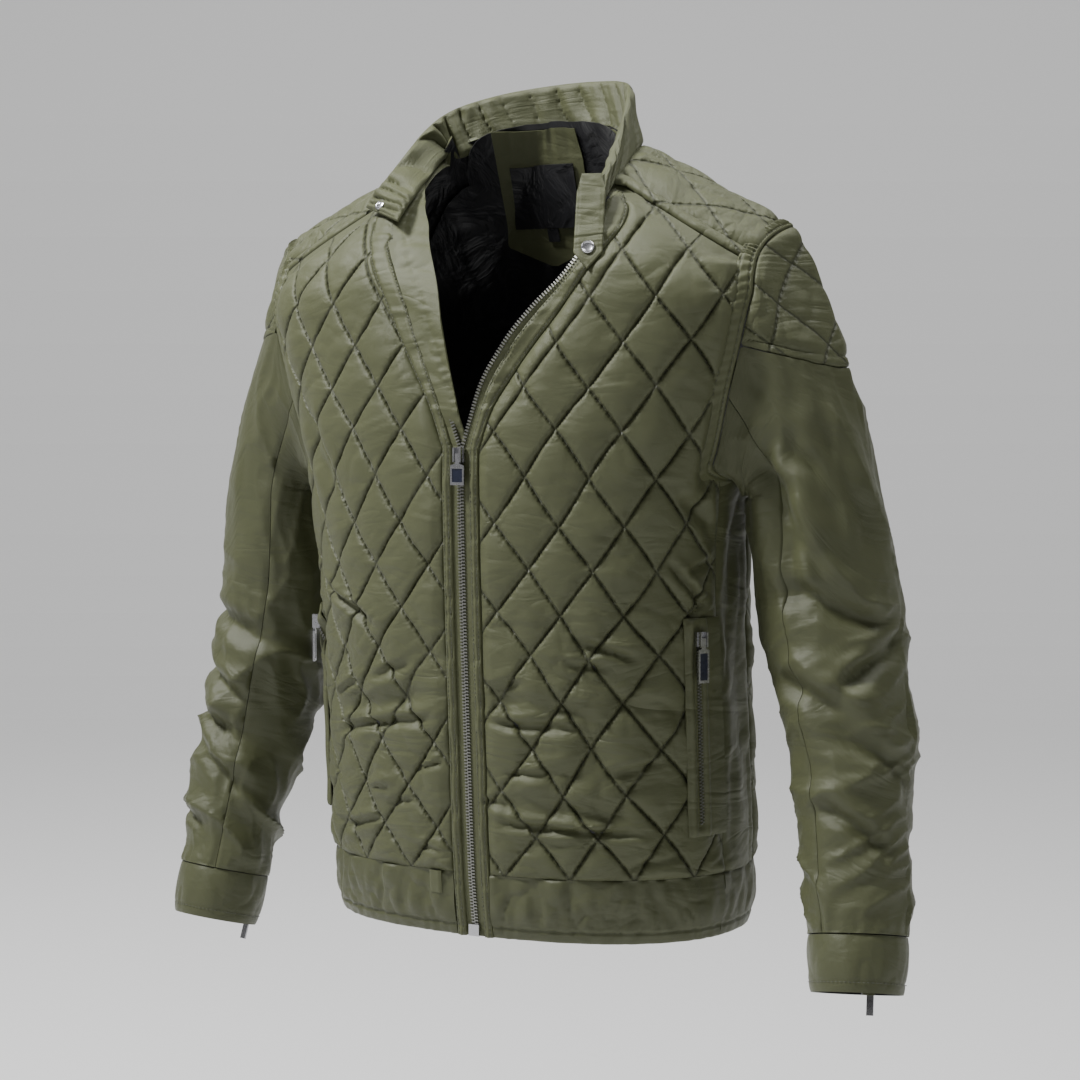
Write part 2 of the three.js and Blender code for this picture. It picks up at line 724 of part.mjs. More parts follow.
// Heights of the front edge, closer together where it opens.
const edgeRows = (side, top) => {
  const zipTop = ZIP_TOP[sideName(side)];
  const closed = rowsBetween(HEM_EDGE, ZIP_OPEN, 2 * ROW);
  const open = rowsBetween(ZIP_OPEN, zipTop, ROW).slice(1);
  const above = top > zipTop ? rowsBetween(zipTop, top, ROW).slice(1) : [];
  return [...closed, ...open, ...above];
};

// A narrow strip along a front edge, between two distances round.
function edgeStrip(name, side, top, from, to, lift, wall, material) {
  addPart(
    name,
    clothWall({
      rows: edgeRows(side, top),
      left: (v) => from(v) + SEAM_GAP,
      right: (v) => to(v) - SEAM_GAP,
      step: 60,
      place: frontPlace(side),
      raise: () => lift,
      wall,
      flip: side,
      fine: 1,
    }),
    material,
  );
}

// Zip tape and raised placket of each front edge.
function frontEdges() {
  for (const side of [1, -1]) {
    const inner = (v) => placketInner(side, v);
    const outer = (v) => placketOuter(side, v);
    const name = sideName(side);
    edgeStrip("placket_" + name, side, PLACKET_TOP[name], inner, outer, 1.4, WALL, SHELL);
    const edge = (v) => zipEdge(side, v);
    const tapeSide = (v) => inner(v) - 0.2;
    edgeStrip("zip_tape_" + name, side, ZIP_TOP[name], edge, tapeSide, -0.6, 1.2, TAPE);
  }
}

// Wind flap behind the right zip edge, which shows above the slider.
const FLAP_DEPTH = 3.3;
const FLAP_REACH = 26;
function windFlap() {
  const top = ZIP_TOP.right;
  const place = frontPlace(-1);
  const reach = (v) => zipEdge(-1, v) - lerp(6, FLAP_REACH, opened(-1, v));
  addPart(
    "wind_flap",
    clothWall({
      rows: Array.from({ length: 9 }, (_, i) => lerp(ZIP_OPEN - 30, top, i / 8)),
      left: reach,
      right: (v) => zipEdge(-1, v) + TAPE_WIDTH,
      step: 12,
      place,
      raise: () => -FLAP_DEPTH,
      wall: FLAP_DEPTH + 1.4,
      flip: -1,
      fine: 1,
    }),
    SHELL,
  );
}

// Armhole point at an angle round the sleeve: 0 at the shoulder point, 90 in front, 180 underarm.
const armholeCurves = new Map();
function armholeCurve(side) {
  if (armholeCurves.has(side)) return armholeCurves.get(side);
  const points = [];
  const steps = 14;
  const turnFront = yokeTurn(side, cornerFrontX, yokeFrontX(side), cornerFrontX);
  const turnBack = yokeTurn(side, cornerBackX, yokeBackX(side), cornerBackX);
  const onYoke = (turn, corner, limit) => {
    const x = lerp(SHOULDER_POINT, corner, smooth(Math.abs(turn / limit)));
    return yokePoint(side, x, turn);
  };
  for (let i = 0; i < steps; i++) {
    points.push(onYoke((-turnFront * i) / steps, cornerFrontX, turnFront));
  }
  for (let i = 0; i <= steps; i++) {
    const v = lerp(YOKE_CORNER, UNDERARM + 8, i / steps);
    points.push(bodyPoint(side, alongAtX(side, tableAt(ARMHOLE_FRONT, "height", "x", v), v), v));
  }
  const underarm = (sideSeamFront(side, UNDERARM) + sideSeamBack(side, UNDERARM)) / 2;
  points.push(bodyPoint(side, underarm, UNDERARM));
  for (let i = steps; i >= 0; i--) {
    const v = lerp(YOKE_CORNER, UNDERARM + 8, i / steps);
    points.push(bodyPoint(side, alongAtX(side, tableAt(ARMHOLE_BACK, "height", "x", v), v, true), v));
  }
  for (let i = steps - 1; i > 0; i--) {
    points.push(onYoke((turnBack * i) / steps, cornerBackX, turnBack));
  }
  const curve = new THREE.CatmullRomCurve3(points, true, "centripetal");
  curve.arcLengthDivisions = 400;
  armholeCurves.set(side, curve);
  return curve;
}

const ARMHOLE_LIFT = 3.6;
function armholePoint(side, angle) {
  const share = ((angle % 360) + 360) % 360;
  const point = armholeCurve(side).getPointAt(share / 360);
  return point.add(new THREE.Vector3(side * ARMHOLE_LIFT, 0, 0));
}

// Middle of the sleeve at a station.
function armCentre(side, station) {
  const at = (column) => tableAt(ARM, "station", column, station);
  return new THREE.Vector3(side * at("x"), at("y"), at("z"));
}

// A point of the sleeve's ring at an angle, square to the arm's own line.
function armRing(side, station, angle) {
  const size = (column) => tableAt(ARM, "station", column, station);
  const low = clamp(station - 0.02, HEAD_STATION, 1);
  const high = clamp(station + 0.02, HEAD_STATION, 1);
  const down = armCentre(side, high).sub(armCentre(side, low)).normalize();
  const ahead = new THREE.Vector3(0, -1, 0).addScaledVector(down, down.y).normalize();
  const out = new THREE.Vector3().crossVectors(ahead, down).normalize();
  if (out.x * side < 0) out.negate();
  const turn = degrees(angle);
  const point = armCentre(side, station);
  point.addScaledVector(out, size("across") * Math.cos(turn));
  return point.addScaledVector(ahead, size("deep") * Math.sin(turn));
}

// A point of the sleeve: the head curves from the armhole into the first ring.
function sleeveBase(side, angle, station) {
  if (station >= HEAD_STATION) return armRing(side, station, angle);
  const start = armholePoint(side, angle);
  const end = armRing(side, HEAD_STATION, angle);
  const below = armRing(side, HEAD_STATION + 0.04, angle);
  const up = end.clone().sub(below).normalize();
  const turn = degrees(angle);
  const top = (1 + Math.cos(turn)) / 2;
  const reach = start.distanceTo(end);
  const leave = new THREE.Vector3(side * lerp(0.5, 0.36, top), 0.24, -0.85).normalize();
  const settle = new THREE.Vector3(side * -5 * top, 5, 0);
  const curve = new THREE.CubicBezierCurve3(
    start,
    start.clone().addScaledVector(leave, reach * lerp(0.2, 0.33, top)),
    end.clone().addScaledVector(up, reach * 0.4).add(settle),
    end,
  );
  return curve.getPoint(station / HEAD_STATION);
}

const SLEEVE_LENGTH = 600;
function sleevePlace(side) {
  const creases = SLEEVE_CREASES[sideName(side)];
  return (angle, station) => {
    const point = sleeveBase(side, angle, station);
    const below = Math.max(station, HEAD_STATION);
    const centre = armCentre(side, below);
    const radius = tableAt(ARM, "station", "across", below);
    let depth = 0;
    for (const row of creases) {
      let off = angle - row.angle;
      off -= 360 * Math.round(off / 360);
      depth += creaseAt(row, degrees(off) * radius, (row.station - station) * SLEEVE_LENGTH);
    }
    depth *= smooth((CUFF_STATION - station) / 0.03) * smooth(station / 0.12);
    const out = point.clone().sub(centre).normalize();
    return point.addScaledVector(out, depth);
  };
}

// Station of the seam below the quilted shoulder patch, which runs level round the arm.
const patchStations = new Map();
function patchStation(side, angle) {
  const key = side + ":" + angle.toFixed(3);
  if (patchStations.has(key)) return patchStations.get(key);
  const level = PATCH_SEAM.level + PATCH_SEAM.outside * Math.cos(degrees(angle));
  let low = 0;
  let high = HEAD_STATION;
  for (let i = 0; i < 24; i++) {
    const middle = (low + high) / 2;
    if (sleeveBase(side, angle, middle).z > level) low = middle;
    else high = middle;
  }
  patchStations.set(key, low);
  return low;
}

// The angles, front and back, at which the patch comes to its end on the armhole.
function patchReach(side, way) {
  let angle = 0;
  const drop = (a) => sleeveBase(side, a, 0).distanceTo(sleeveBase(side, a, patchStation(side, a)));
  while (drop(angle + way * 3) > PATCH_END && Math.abs(angle) < 150) angle += way * 3;
  return angle;
}

// Quilted patch over the sleeve head, from the armhole to its curved seam.
function shoulderPatch(side) {
  const surface = sleevePlace(side);
  const seam = 0.0012;
  const end = (u) => Math.max(patchStation(side, u) - seam, seam * 1.5);
  const place = (u, v) => surface(u, lerp(seam, end(u), v));
  const rows = Array.from({ length: 9 }, (_, i) => i / 8);
  const [from, to] = [patchReach(side, -1), patchReach(side, 1)];
  const drop = 110;
  const geometry = clothWall({
    rows,
    left: () => from,
    right: () => to,
    step: RING_STEP,
    place,
    raise: (u, v) => {
      const near = Math.min(u - from, to - u, v * drop, (1 - v) * drop) / (SEAM_FLAT * 1.6);
      return 0.8 * quilt(u * 1.04, v * drop) * clamp(near, 0, 1);
    },
    nudge: 0.5,
    nudgeV: 0.01,
    flip: side,
  });
  addPart("shoulder_patch_" + sideName(side), geometry, SHELL);
}

// One of the two pieces of a sleeve, between two lengthwise seams.
function sleevePiece(name, side, from, to) {
  const surface = sleevePlace(side);
  const seam = 0.0012;
  const place = (u, v) => surface(u, lerp(patchStation(side, u) + seam, CUFF_STATION - seam / 2, v));
  const rows = Array.from({ length: 23 }, (_, i) => i / 22);
  const geometry = clothWall({
    rows,
    left: () => from + 0.5,
    right: () => to - 0.5,
    step: RING_STEP,
    place,
    wall: WALL - 0.4,
    nudge: 0.5,
    nudgeV: 0.004,
    flip: side,
  });
  addPart(name + "_" + sideName(side), geometry, SHELL);
}

// Cuff band, open where its short zip runs up the back.
const CUFF_ZIP_ANGLE = 262;
const CUFF_ZIP_HALF = 9;
function cuff(side) {
  const surface = sleevePlace(side);
  const rows = [0, 0.5, 1];
  const place = (u, v) => surface(u, lerp(CUFF_STATION + 0.001, 1, v));
  const geometry = clothWall({
    rows,
    left: () => CUFF_ZIP_ANGLE - 360 + CUFF_ZIP_HALF,
    right: () => CUFF_ZIP_ANGLE - CUFF_ZIP_HALF,
    step: 350 / 20,
    place,
    raise: (u, v) => 1.6 * Math.sin(Math.PI * v),
    nudge: 0.5,
    nudgeV: 0.01,
    flip: side,
    fine: 1,
  });
  addPart("cuff_" + sideName(side), geometry, SHELL);
  addPart(
    "cuff_tape_" + sideName(side),
    clothWall({
      rows,
      left: () => CUFF_ZIP_ANGLE - CUFF_ZIP_HALF + 0.5,
      right: () => CUFF_ZIP_ANGLE + CUFF_ZIP_HALF - 0.5,
      step: 30,
      place,
      raise: () => -0.3,
      wall: 1.3,
      nudge: 0.5,
      nudgeV: 0.01,
      flip: side,
      fine: 1,
    }),
    TAPE,
  );
}

// Where a row of the collar is sewn to the body.
function neckPoint(row) {
  const { side, panel, height } = row;
  if (panel === "yoke") return yokePoint(side, neckHalf(side) - 3.5, 0);
  if (panel === "front") {
    const x = tableAt(OPENING[sideName(side)], "height", "x", height) - (side > 0 ? 4.5 : 1.5);
    const seam = bodyPoint(side, alongAtX(side, x, height), height);
    return seam.add(new THREE.Vector3(0, -row.out, 0));
  }
  const x = height < NECK_BACK ? neckHalf(side) - tableAt(NECKLINE_BACK, "height", "inset", height) : 2;
  return bodyPoint(side, alongAtX(side, x, height, true), height);
}

// Stand collar along the neck seam, gathered on its inside.
const COLLAR_GAP = 1.2;
const collarSeam = new THREE.CatmullRomCurve3(COLLAR.map(neckPoint), false, "centripetal");
const collarTop = new THREE.CatmullRomCurve3(
  COLLAR.map((row) => new THREE.Vector3(row.x, row.y, row.z)),
  false,
  "centripetal",
);
function collarPlace(u, v) {
  const seam = collarSeam.getPoint(clamp(u, 0, 1));
  const top = collarTop.getPoint(clamp(u, 0, 1));
  const rise = top.clone().sub(seam).normalize();
  return seam.addScaledVector(rise, COLLAR_GAP).lerp(top, v);
}

const COLLAR_LENGTH = 430;
function collar() {
  const gathers = Math.round(COLLAR_LENGTH / GATHER_PITCH);
  const fold = (u) => GATHER_DEPTH * 0.5 * (1 - Math.cos(2 * Math.PI * gathers * u));
  addPart(
    "collar",
    clothWall({
      rows: [0, 0.15, 0.85, 1],
      left: () => 0,
      right: () => 1,
      step: 1 / (gathers * 2),
      place: collarPlace,
      raise: (u, v) => (v > 0.05 && v < 0.95 ? fold(u) : 0),
      wall: COLLAR_WALL,
      nudge: 0.004,
      nudgeV: 0.02,
      flip: 1,
      fine: 1,
    }),
    SHELL,
  );
}

// A flat outline given a thickness.
const plate = (shape, depth) => new THREE.ExtrudeGeometry(shape, { depth, bevelEnabled: false });

// Pointed tab that hangs from the collar's left end, with its snap.
const TAB = { x: 97, y: -75, z: -38, width: 22, length: 62, point: 13, thick: 2, lean: 22, turn: 20 };
const SNAP_HEIGHT = 1.6;
function collarTab() {
  const outline = new THREE.Shape([
    new THREE.Vector2(-TAB.width / 2, 0),
    new THREE.Vector2(-TAB.width / 2, -TAB.length + TAB.point),
    new THREE.Vector2(0, -TAB.length),
    new THREE.Vector2(TAB.width / 2, -TAB.length + TAB.point),
    new THREE.Vector2(TAB.width / 2, 0),
  ]);
  const tab = new THREE.Group();
  tab.position.set(TAB.x, TAB.y, TAB.z);
  tab.rotation.set(degrees(90 - TAB.lean), 0, degrees(TAB.turn), "ZXY");
  jacket.add(tab);
  addPart("collar_tab", plate(outline, TAB.thick), SHELL, tab);
  const cap = addPart("snap_cap", new THREE.CylinderGeometry(4.6, 5, SNAP_HEIGHT, 16), STEEL, tab);
  cap.rotation.x = Math.PI / 2;
  cap.position.set(0, -TAB.length + TAB.point + 4, TAB.thick + SNAP_HEIGHT / 2 + SEAM_GAP);
}

// Snap stud on the inner face of the collar's right end.
function collarStud() {
  const u = 0.045;
  const at = collarPlace(u, 0.5);
  const along = collarPlace(u + 0.01, 0.5).sub(collarPlace(u - 0.01, 0.5)).normalize();
  const up = collarPlace(u, 0.9).sub(collarPlace(u, 0.1)).normalize();
  const inward = new THREE.Vector3().crossVectors(along, up).normalize();
  const stud = addPart("snap_stud", new THREE.CylinderGeometry(4.2, 4.8, 2, 16), STEEL);
  stud.quaternion.setFromUnitVectors(new THREE.Vector3(0, 1, 0), inward);
  stud.position.copy(at).addScaledVector(inward, GATHER_DEPTH + 1.4);
}

// Satin lining inside the back, seen through the open neck, with its facing, label and size tab.
const LINING_WALL = 1;
const LINING_LOW = -330;
const LINING_TOP = 33;
const FACING = { half: 41, top: 29, bottom: -62, point: -78, shift: -13, over: 2.3 };
const LABEL = { half: 31, top: 2, bottom: -47, shift: -12, over: 4.2 };
const SIZE_TAB = { half: 5, top: -47.6, bottom: -58, shift: -9, over: 4.2 };
const liningDepth = (v) => lerp(4.4, 7, clamp((v + 130) / 60, 0, 1));

// The lining stands a little higher than the back's own neckline.
function liningReach(side, v) {
  if (v > 0) return neckHalf(side) + 1 - tableAt(NECKLINE_BACK, "height", "inset", v - 4);
  return Math.min(lerp(neckHalf(side) - 3, 150, clamp(-v / 90, 0, 1)), backReach(side, v) - 10);
}

function innerBack() {
  const layer = (name, rows, left, right, step, depth, look) =>
    addPart(
      name,
      clothWall({
        rows,
        left,
        right,
        step,
        place: backPlace,
        raise: (u, v) => -depth(v),
        wall: (v) => depth(v) + LINING_WALL,
        flip: -1,
        fine: 1,
      }),
      look,
    );
  const lowRows = [LINING_LOW, -290, -250, -210, -170, -135, -105, -75];
  const liningRows = [...lowRows, -45, -20, 0, 12, 24, LINING_TOP];
  const reach = (side) => (v) => side * liningReach(side, v);
  layer("lining_back", liningRows, reach(-1), reach(1), 22, liningDepth, SATIN);
  const facingHalf = (v) => {
    const share = clamp((v - FACING.point) / (FACING.bottom - FACING.point), 0, 1);
    return lerp(3, FACING.half, share);
  };
  const facingRows = [FACING.point, FACING.bottom, -40, -20, 0, 14, FACING.top];
  const over = (part) => (v) => liningDepth(v) + part.over;
  const left = (part, half) => (v) => part.shift - half(v);
  const right = (part, half) => (v) => part.shift + half(v);
  const patch = (name, part, rows, half, look) =>
    layer(name, rows, left(part, half), right(part, half), 14, over(part), look);
  patch("neck_facing", FACING, facingRows, facingHalf, SHELL);
  patch("label", LABEL, [LABEL.bottom, -31, -15, LABEL.top], () => LABEL.half, SATIN);
  patch("size_tab", SIZE_TAB, [SIZE_TAB.bottom, SIZE_TAB.top], () => SIZE_TAB.half, SATIN);
}

const DOWN = new THREE.Vector3(0, 0, -1);

// Plain patch round each pocket zip, with its tape lying on it.
function pocket(side) {
  const name = sideName(side);
  const surface = frontPlace(side);
  const from = POCKET.along;
  const to = (v) => Math.min(from + POCKET.patchWidth, sideSeamFront(side, v) - 2);
  const rows = rowsBetween(POCKET.bottom - 8, POCKET.top + 8, 2 * ROW);
  const clear = PUFF + 0.8;
  const patchTop = clear + POCKET.patchWall;
  const tapeTop = patchTop + 1.5;
  addPart(
    "pocket_patch_" + name,
    clothWall({
      rows,
      left: () => from,
      right: to,
      step: 8,
      place: surface,
      raise: () => patchTop,
      wall: -clear,
      flip: side,
      fine: 1,
    }),
    SHELL,
  );
  const zipAt = from + POCKET.zipInset;
  addPart(
    "pocket_tape_" + name,
    clothWall({
      rows: rowsBetween(POCKET.bottom, POCKET.top, 2 * ROW),
      left: () => zipAt - 6,
      right: () => zipAt + 6,
      step: 6,
      place: surface,
      raise: () => tapeTop,
      wall: -(patchTop + 0.5),
      flip: side,
      fine: 1,
    }),
    TAPE,
  );
  const seat = surface(zipAt, POCKET.top - 8);
  const sideways = surface(zipAt + 1, POCKET.top).sub(surface(zipAt - 1, POCKET.top));
  const out = sideways.cross(new THREE.Vector3(0, 0, side)).normalize();
  zipSlider("pocket", name, seat, out, DOWN, tapeTop + SEAM_GAP, PULL_LONG);
}

// Slider body with two ears, and a pull tab that hangs from a pin between them.
const SLIDER = { width: 8.4, length: 11, thick: 2.6, ear: 1.3, earRise: 3.6, slot: 4.6 };
const PULL_LONG = { length: 33, width: 10, thick: 1.6, framed: true };
const PULL_SHORT = { length: 23, width: 12, thick: 1.6, framed: true };
const PULL_CUFF = { length: 30, width: 5.4, thick: 1.5, framed: false };
function zipSlider(kind, sideLabel, seat, out, down, lift, pull) {
  const suffix = sideLabel ? "_" + sideLabel : "";
  const frame = new THREE.Group();
  const across = new THREE.Vector3().crossVectors(out, down).normalize();
  const up = new THREE.Vector3().crossVectors(out, across).normalize();
  const basis = new THREE.Matrix4().makeBasis(across, up, out);
  frame.quaternion.setFromRotationMatrix(basis);
  frame.position.copy(seat).addScaledVector(out, lift);
  jacket.add(frame);

  // The body and its ears are one profile, extruded across the zip and cut by the slot for the pull.
  const halfSlot = SLIDER.slot / 2;
  const half = SLIDER.width / 2;
  const top = SLIDER.thick;
  const section = new THREE.Shape([
    new THREE.Vector2(-half, 0),
    new THREE.Vector2(half, 0),
    new THREE.Vector2(half, top),
    new THREE.Vector2(halfSlot + SLIDER.ear, top),
    new THREE.Vector2(halfSlot + SLIDER.ear, top + SLIDER.earRise),
    new THREE.Vector2(halfSlot, top + SLIDER.earRise),
    new THREE.Vector2(halfSlot, top),
    new THREE.Vector2(-halfSlot, top),
    new THREE.Vector2(-halfSlot, top + SLIDER.earRise),
    new THREE.Vector2(-halfSlot - SLIDER.ear, top + SLIDER.earRise),
    new THREE.Vector2(-halfSlot - SLIDER.ear, top),
    new THREE.Vector2(-half, top),
  ]);
  const body = addPart(kind + "_slider" + suffix, plate(section, SLIDER.length), STEEL, frame);
  body.rotation.x = Math.PI / 2;
  body.position.set(0, SLIDER.length / 2, 0);

  // The pull is a flat frame with a neck that narrows between the ears.
  const neck = halfSlot - 0.3;
  const neckEnd = -SLIDER.length / 2 - 1.2;
  const shoulder = neckEnd - 1.4;
  const w = pull.width / 2;
  const pivotRise = top + SLIDER.earRise / 2 + 0.4;
  const outline = new THREE.Shape([
    new THREE.Vector2(-neck, 1.2),
    new THREE.Vector2(-neck, neckEnd),
    new THREE.Vector2(-w, shoulder),
    new THREE.Vector2(-w, -pull.length),
    new THREE.Vector2(w, -pull.length),
    new THREE.Vector2(w, shoulder),
    new THREE.Vector2(neck, neckEnd),
    new THREE.Vector2(neck, 1.2),
  ]);
  const opening = new THREE.Path([
    new THREE.Vector2(-w + 1.5, shoulder - 2.4),
    new THREE.Vector2(w - 1.5, shoulder - 2.4),
    new THREE.Vector2(w - 1.5, -pull.length + 2.2),
    new THREE.Vector2(-w + 1.5, -pull.length + 2.2),
  ]);
  if (pull.framed) outline.holes.push(opening);
  const tab = addPart(kind + "_pull" + suffix, plate(outline, pull.thick), STEEL, frame);
  tab.position.set(0, 0, pivotRise - pull.thick / 2);
}

// Main zip: slider where the fronts part, and the box that joins the tapes at the hem.
function mainZip() {
  const at = ZIP_OPEN - 6;
  const seat = new THREE.Vector3(ZIP_X, bodyAt(at).front, at);
  zipSlider("main", "", seat, new THREE.Vector3(0, -1, 0), DOWN, 0.1, PULL_SHORT);
  const box = addPart("zip_box", new THREE.BoxGeometry(9, 2.4, 9), STEEL);
  box.position.set(ZIP_X, bodyAt(HEM_EDGE + 6).front - 2.1, HEM_EDGE + 5);
}

// The cuff zip's slider at the cuff's edge, with its pull hanging below.
function cuffZip(side) {
  const surface = sleevePlace(side);
  const at = 0.975;
  const seat = surface(CUFF_ZIP_ANGLE, at);
  const down = surface(CUFF_ZIP_ANGLE, at + 0.02).sub(surface(CUFF_ZIP_ANGLE, at - 0.02)).normalize();
  const beside = (turn) => surface(CUFF_ZIP_ANGLE + turn, at);
  const sideways = beside(4).sub(beside(-4)).normalize();
  const out = sideways.cross(down).normalize();
  if (out.y < 0) out.negate();
  zipSlider("cuff", sideName(side), seat, out, down, 0.3, PULL_CUFF);
}

for (const side of [1, -1]) {
  front(side);
  sidePanel(side);
  yoke(side);
  shoulderPatch(side);
  sleevePiece("sleeve_top", side, SEAM_BACK - 360, SEAM_FRONT);
  sleevePiece("sleeve_under", side, SEAM_FRONT, SEAM_BACK);
  cuff(side);
  cuffZip(side);
  pocket(side);
}
back();
waistband();
frontEdges();
windFlap();
collar();
collarTab();
collarStud();
innerBack();
mainZip();

export default jacket;
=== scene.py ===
import math

import bpy
import numpy as np
from mathutils import Matrix, Vector


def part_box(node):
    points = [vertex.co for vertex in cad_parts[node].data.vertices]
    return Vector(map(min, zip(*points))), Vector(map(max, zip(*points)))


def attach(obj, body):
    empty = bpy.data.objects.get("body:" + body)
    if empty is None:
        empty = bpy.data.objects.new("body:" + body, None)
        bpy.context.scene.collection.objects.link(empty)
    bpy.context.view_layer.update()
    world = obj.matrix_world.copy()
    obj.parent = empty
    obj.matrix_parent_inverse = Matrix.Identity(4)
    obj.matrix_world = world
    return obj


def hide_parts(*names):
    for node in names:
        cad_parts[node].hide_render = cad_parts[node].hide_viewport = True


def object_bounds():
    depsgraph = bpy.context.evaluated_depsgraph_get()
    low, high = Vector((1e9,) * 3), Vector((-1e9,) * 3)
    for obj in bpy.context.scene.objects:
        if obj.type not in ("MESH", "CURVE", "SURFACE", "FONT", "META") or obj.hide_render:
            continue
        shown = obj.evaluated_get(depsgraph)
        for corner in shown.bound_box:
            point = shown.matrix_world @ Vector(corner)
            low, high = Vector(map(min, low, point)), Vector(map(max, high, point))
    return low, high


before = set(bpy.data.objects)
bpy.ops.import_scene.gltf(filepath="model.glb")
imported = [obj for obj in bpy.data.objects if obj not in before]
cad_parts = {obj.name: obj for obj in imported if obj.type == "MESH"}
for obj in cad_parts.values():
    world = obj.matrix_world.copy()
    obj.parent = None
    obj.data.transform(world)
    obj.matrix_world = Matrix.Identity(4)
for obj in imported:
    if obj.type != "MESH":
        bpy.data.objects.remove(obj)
cad_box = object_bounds()
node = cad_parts

# ## Olive shell cloth
# The shell is a tight plain-woven nylon with a satin face, dyed olive and a little uneven in
# tone. Its weave is 0.5 mm; the quilting thread is dyed to match. The copy on the sleeves,
# cuffs and waistband is darker, which is painted shade; the trim's copy is a little lighter.
OLIVE = (0.074, 0.08, 0.037)
THREAD = (0.034, 0.038, 0.018)
BLACK = (0.0045, 0.0045, 0.0055)
WEAVE_PITCH = 0.0005
DIAMOND_WIDTH = 0.050
DIAMOND_HEIGHT = 0.068
STITCH = 0.0034


class Shade:
    """One value in a material's nodes, with arithmetic that adds Math nodes."""

    def __init__(self, tree, socket=None):
        self.tree = tree
        self.socket = socket

    def node(self, kind, settings=None, inputs=None, output=0):
        made = self.tree.nodes.new("ShaderNode" + kind)
        for name, value in (settings or {}).items():
            if name == "stops":
                while len(made.color_ramp.elements) < len(value):
                    made.color_ramp.elements.new(1)
                for element, (position, color) in zip(made.color_ramp.elements, value):
                    element.position = position
                    element.color = (*color, 1)
            else:
                setattr(made, name, value)
        for name, value in (inputs or {}).items():
            if isinstance(value, Shade):
                self.tree.links.new(value.socket, made.inputs[name])
            else:
                made.inputs[name].default_value = value
        return Shade(self.tree, made.outputs[output])

    def math(self, operation, *others):
        inputs = dict(enumerate((self, *others)))
        return self.node("Math", {"operation": operation}, inputs)

    def clamped(self):
        return self.node("Clamp", None, {"Value": self})

    def __add__(self, other):
        return self.math("ADD", other)

    __radd__ = __add__

    def __sub__(self, other):
        return self.math("SUBTRACT", other)

    def __rsub__(self, other):
        return (self * -1) + other

    def __mul__(self, other):
        return self.math("MULTIPLY", other)

    __rmul__ = __mul__

    def __truediv__(self, other):
        return self.math("DIVIDE", other)

    def __pow__(self, other):
        return self.math("POWER", other)


def new_material(name, **sockets):
    """A material with its Principled shader's fixed sockets set, and the start of its nodes."""
    material = bpy.data.materials.new(name)
    material.use_nodes = True
    shader = material.node_tree.nodes["Principled BSDF"]
    for socket, value in sockets.items():
        shader.inputs[socket.replace("_", " ")].default_value = value
    return material, Shade(material.node_tree), shader


def plug(material, value, socket):
    material.node_tree.links.new(value.socket, socket)


def mixed(share, a, b):
    """A colour that goes from a to b."""
    maker = share.tree.nodes.new("ShaderNodeMix")
    maker.data_type = "RGBA"
    share.tree.links.new(share.socket, maker.inputs[0])
    for index, value in ((6, a), (7, b)):
        if isinstance(value, Shade):
            share.tree.links.new(value.socket, maker.inputs[index])
        else:
            maker.inputs[index].default_value = (*value, 1)
    return Shade(share.tree, maker.outputs[2])


def noise(at, scale, detail=2.0, distortion=0.0):
    """A noise texture's value at a vector."""
    inputs = {"Vector": at, "Scale": scale, "Detail": detail, "Distortion": distortion}
    return at.node("TexNoise", None, inputs)


def from_object(start):
    return start.node("TexCoord", None, None, 3)


def color_scaled(color, share):
    return tuple(c * share for c in color)


def grained(material, shader, height):
    """The bump of a small height in metres, on the shader's normal."""
    bump = height.node("Bump", None, {"Strength": 1.0, "Distance": 1.0, "Height": height})
    plug(material, bump, shader.inputs["Normal"])


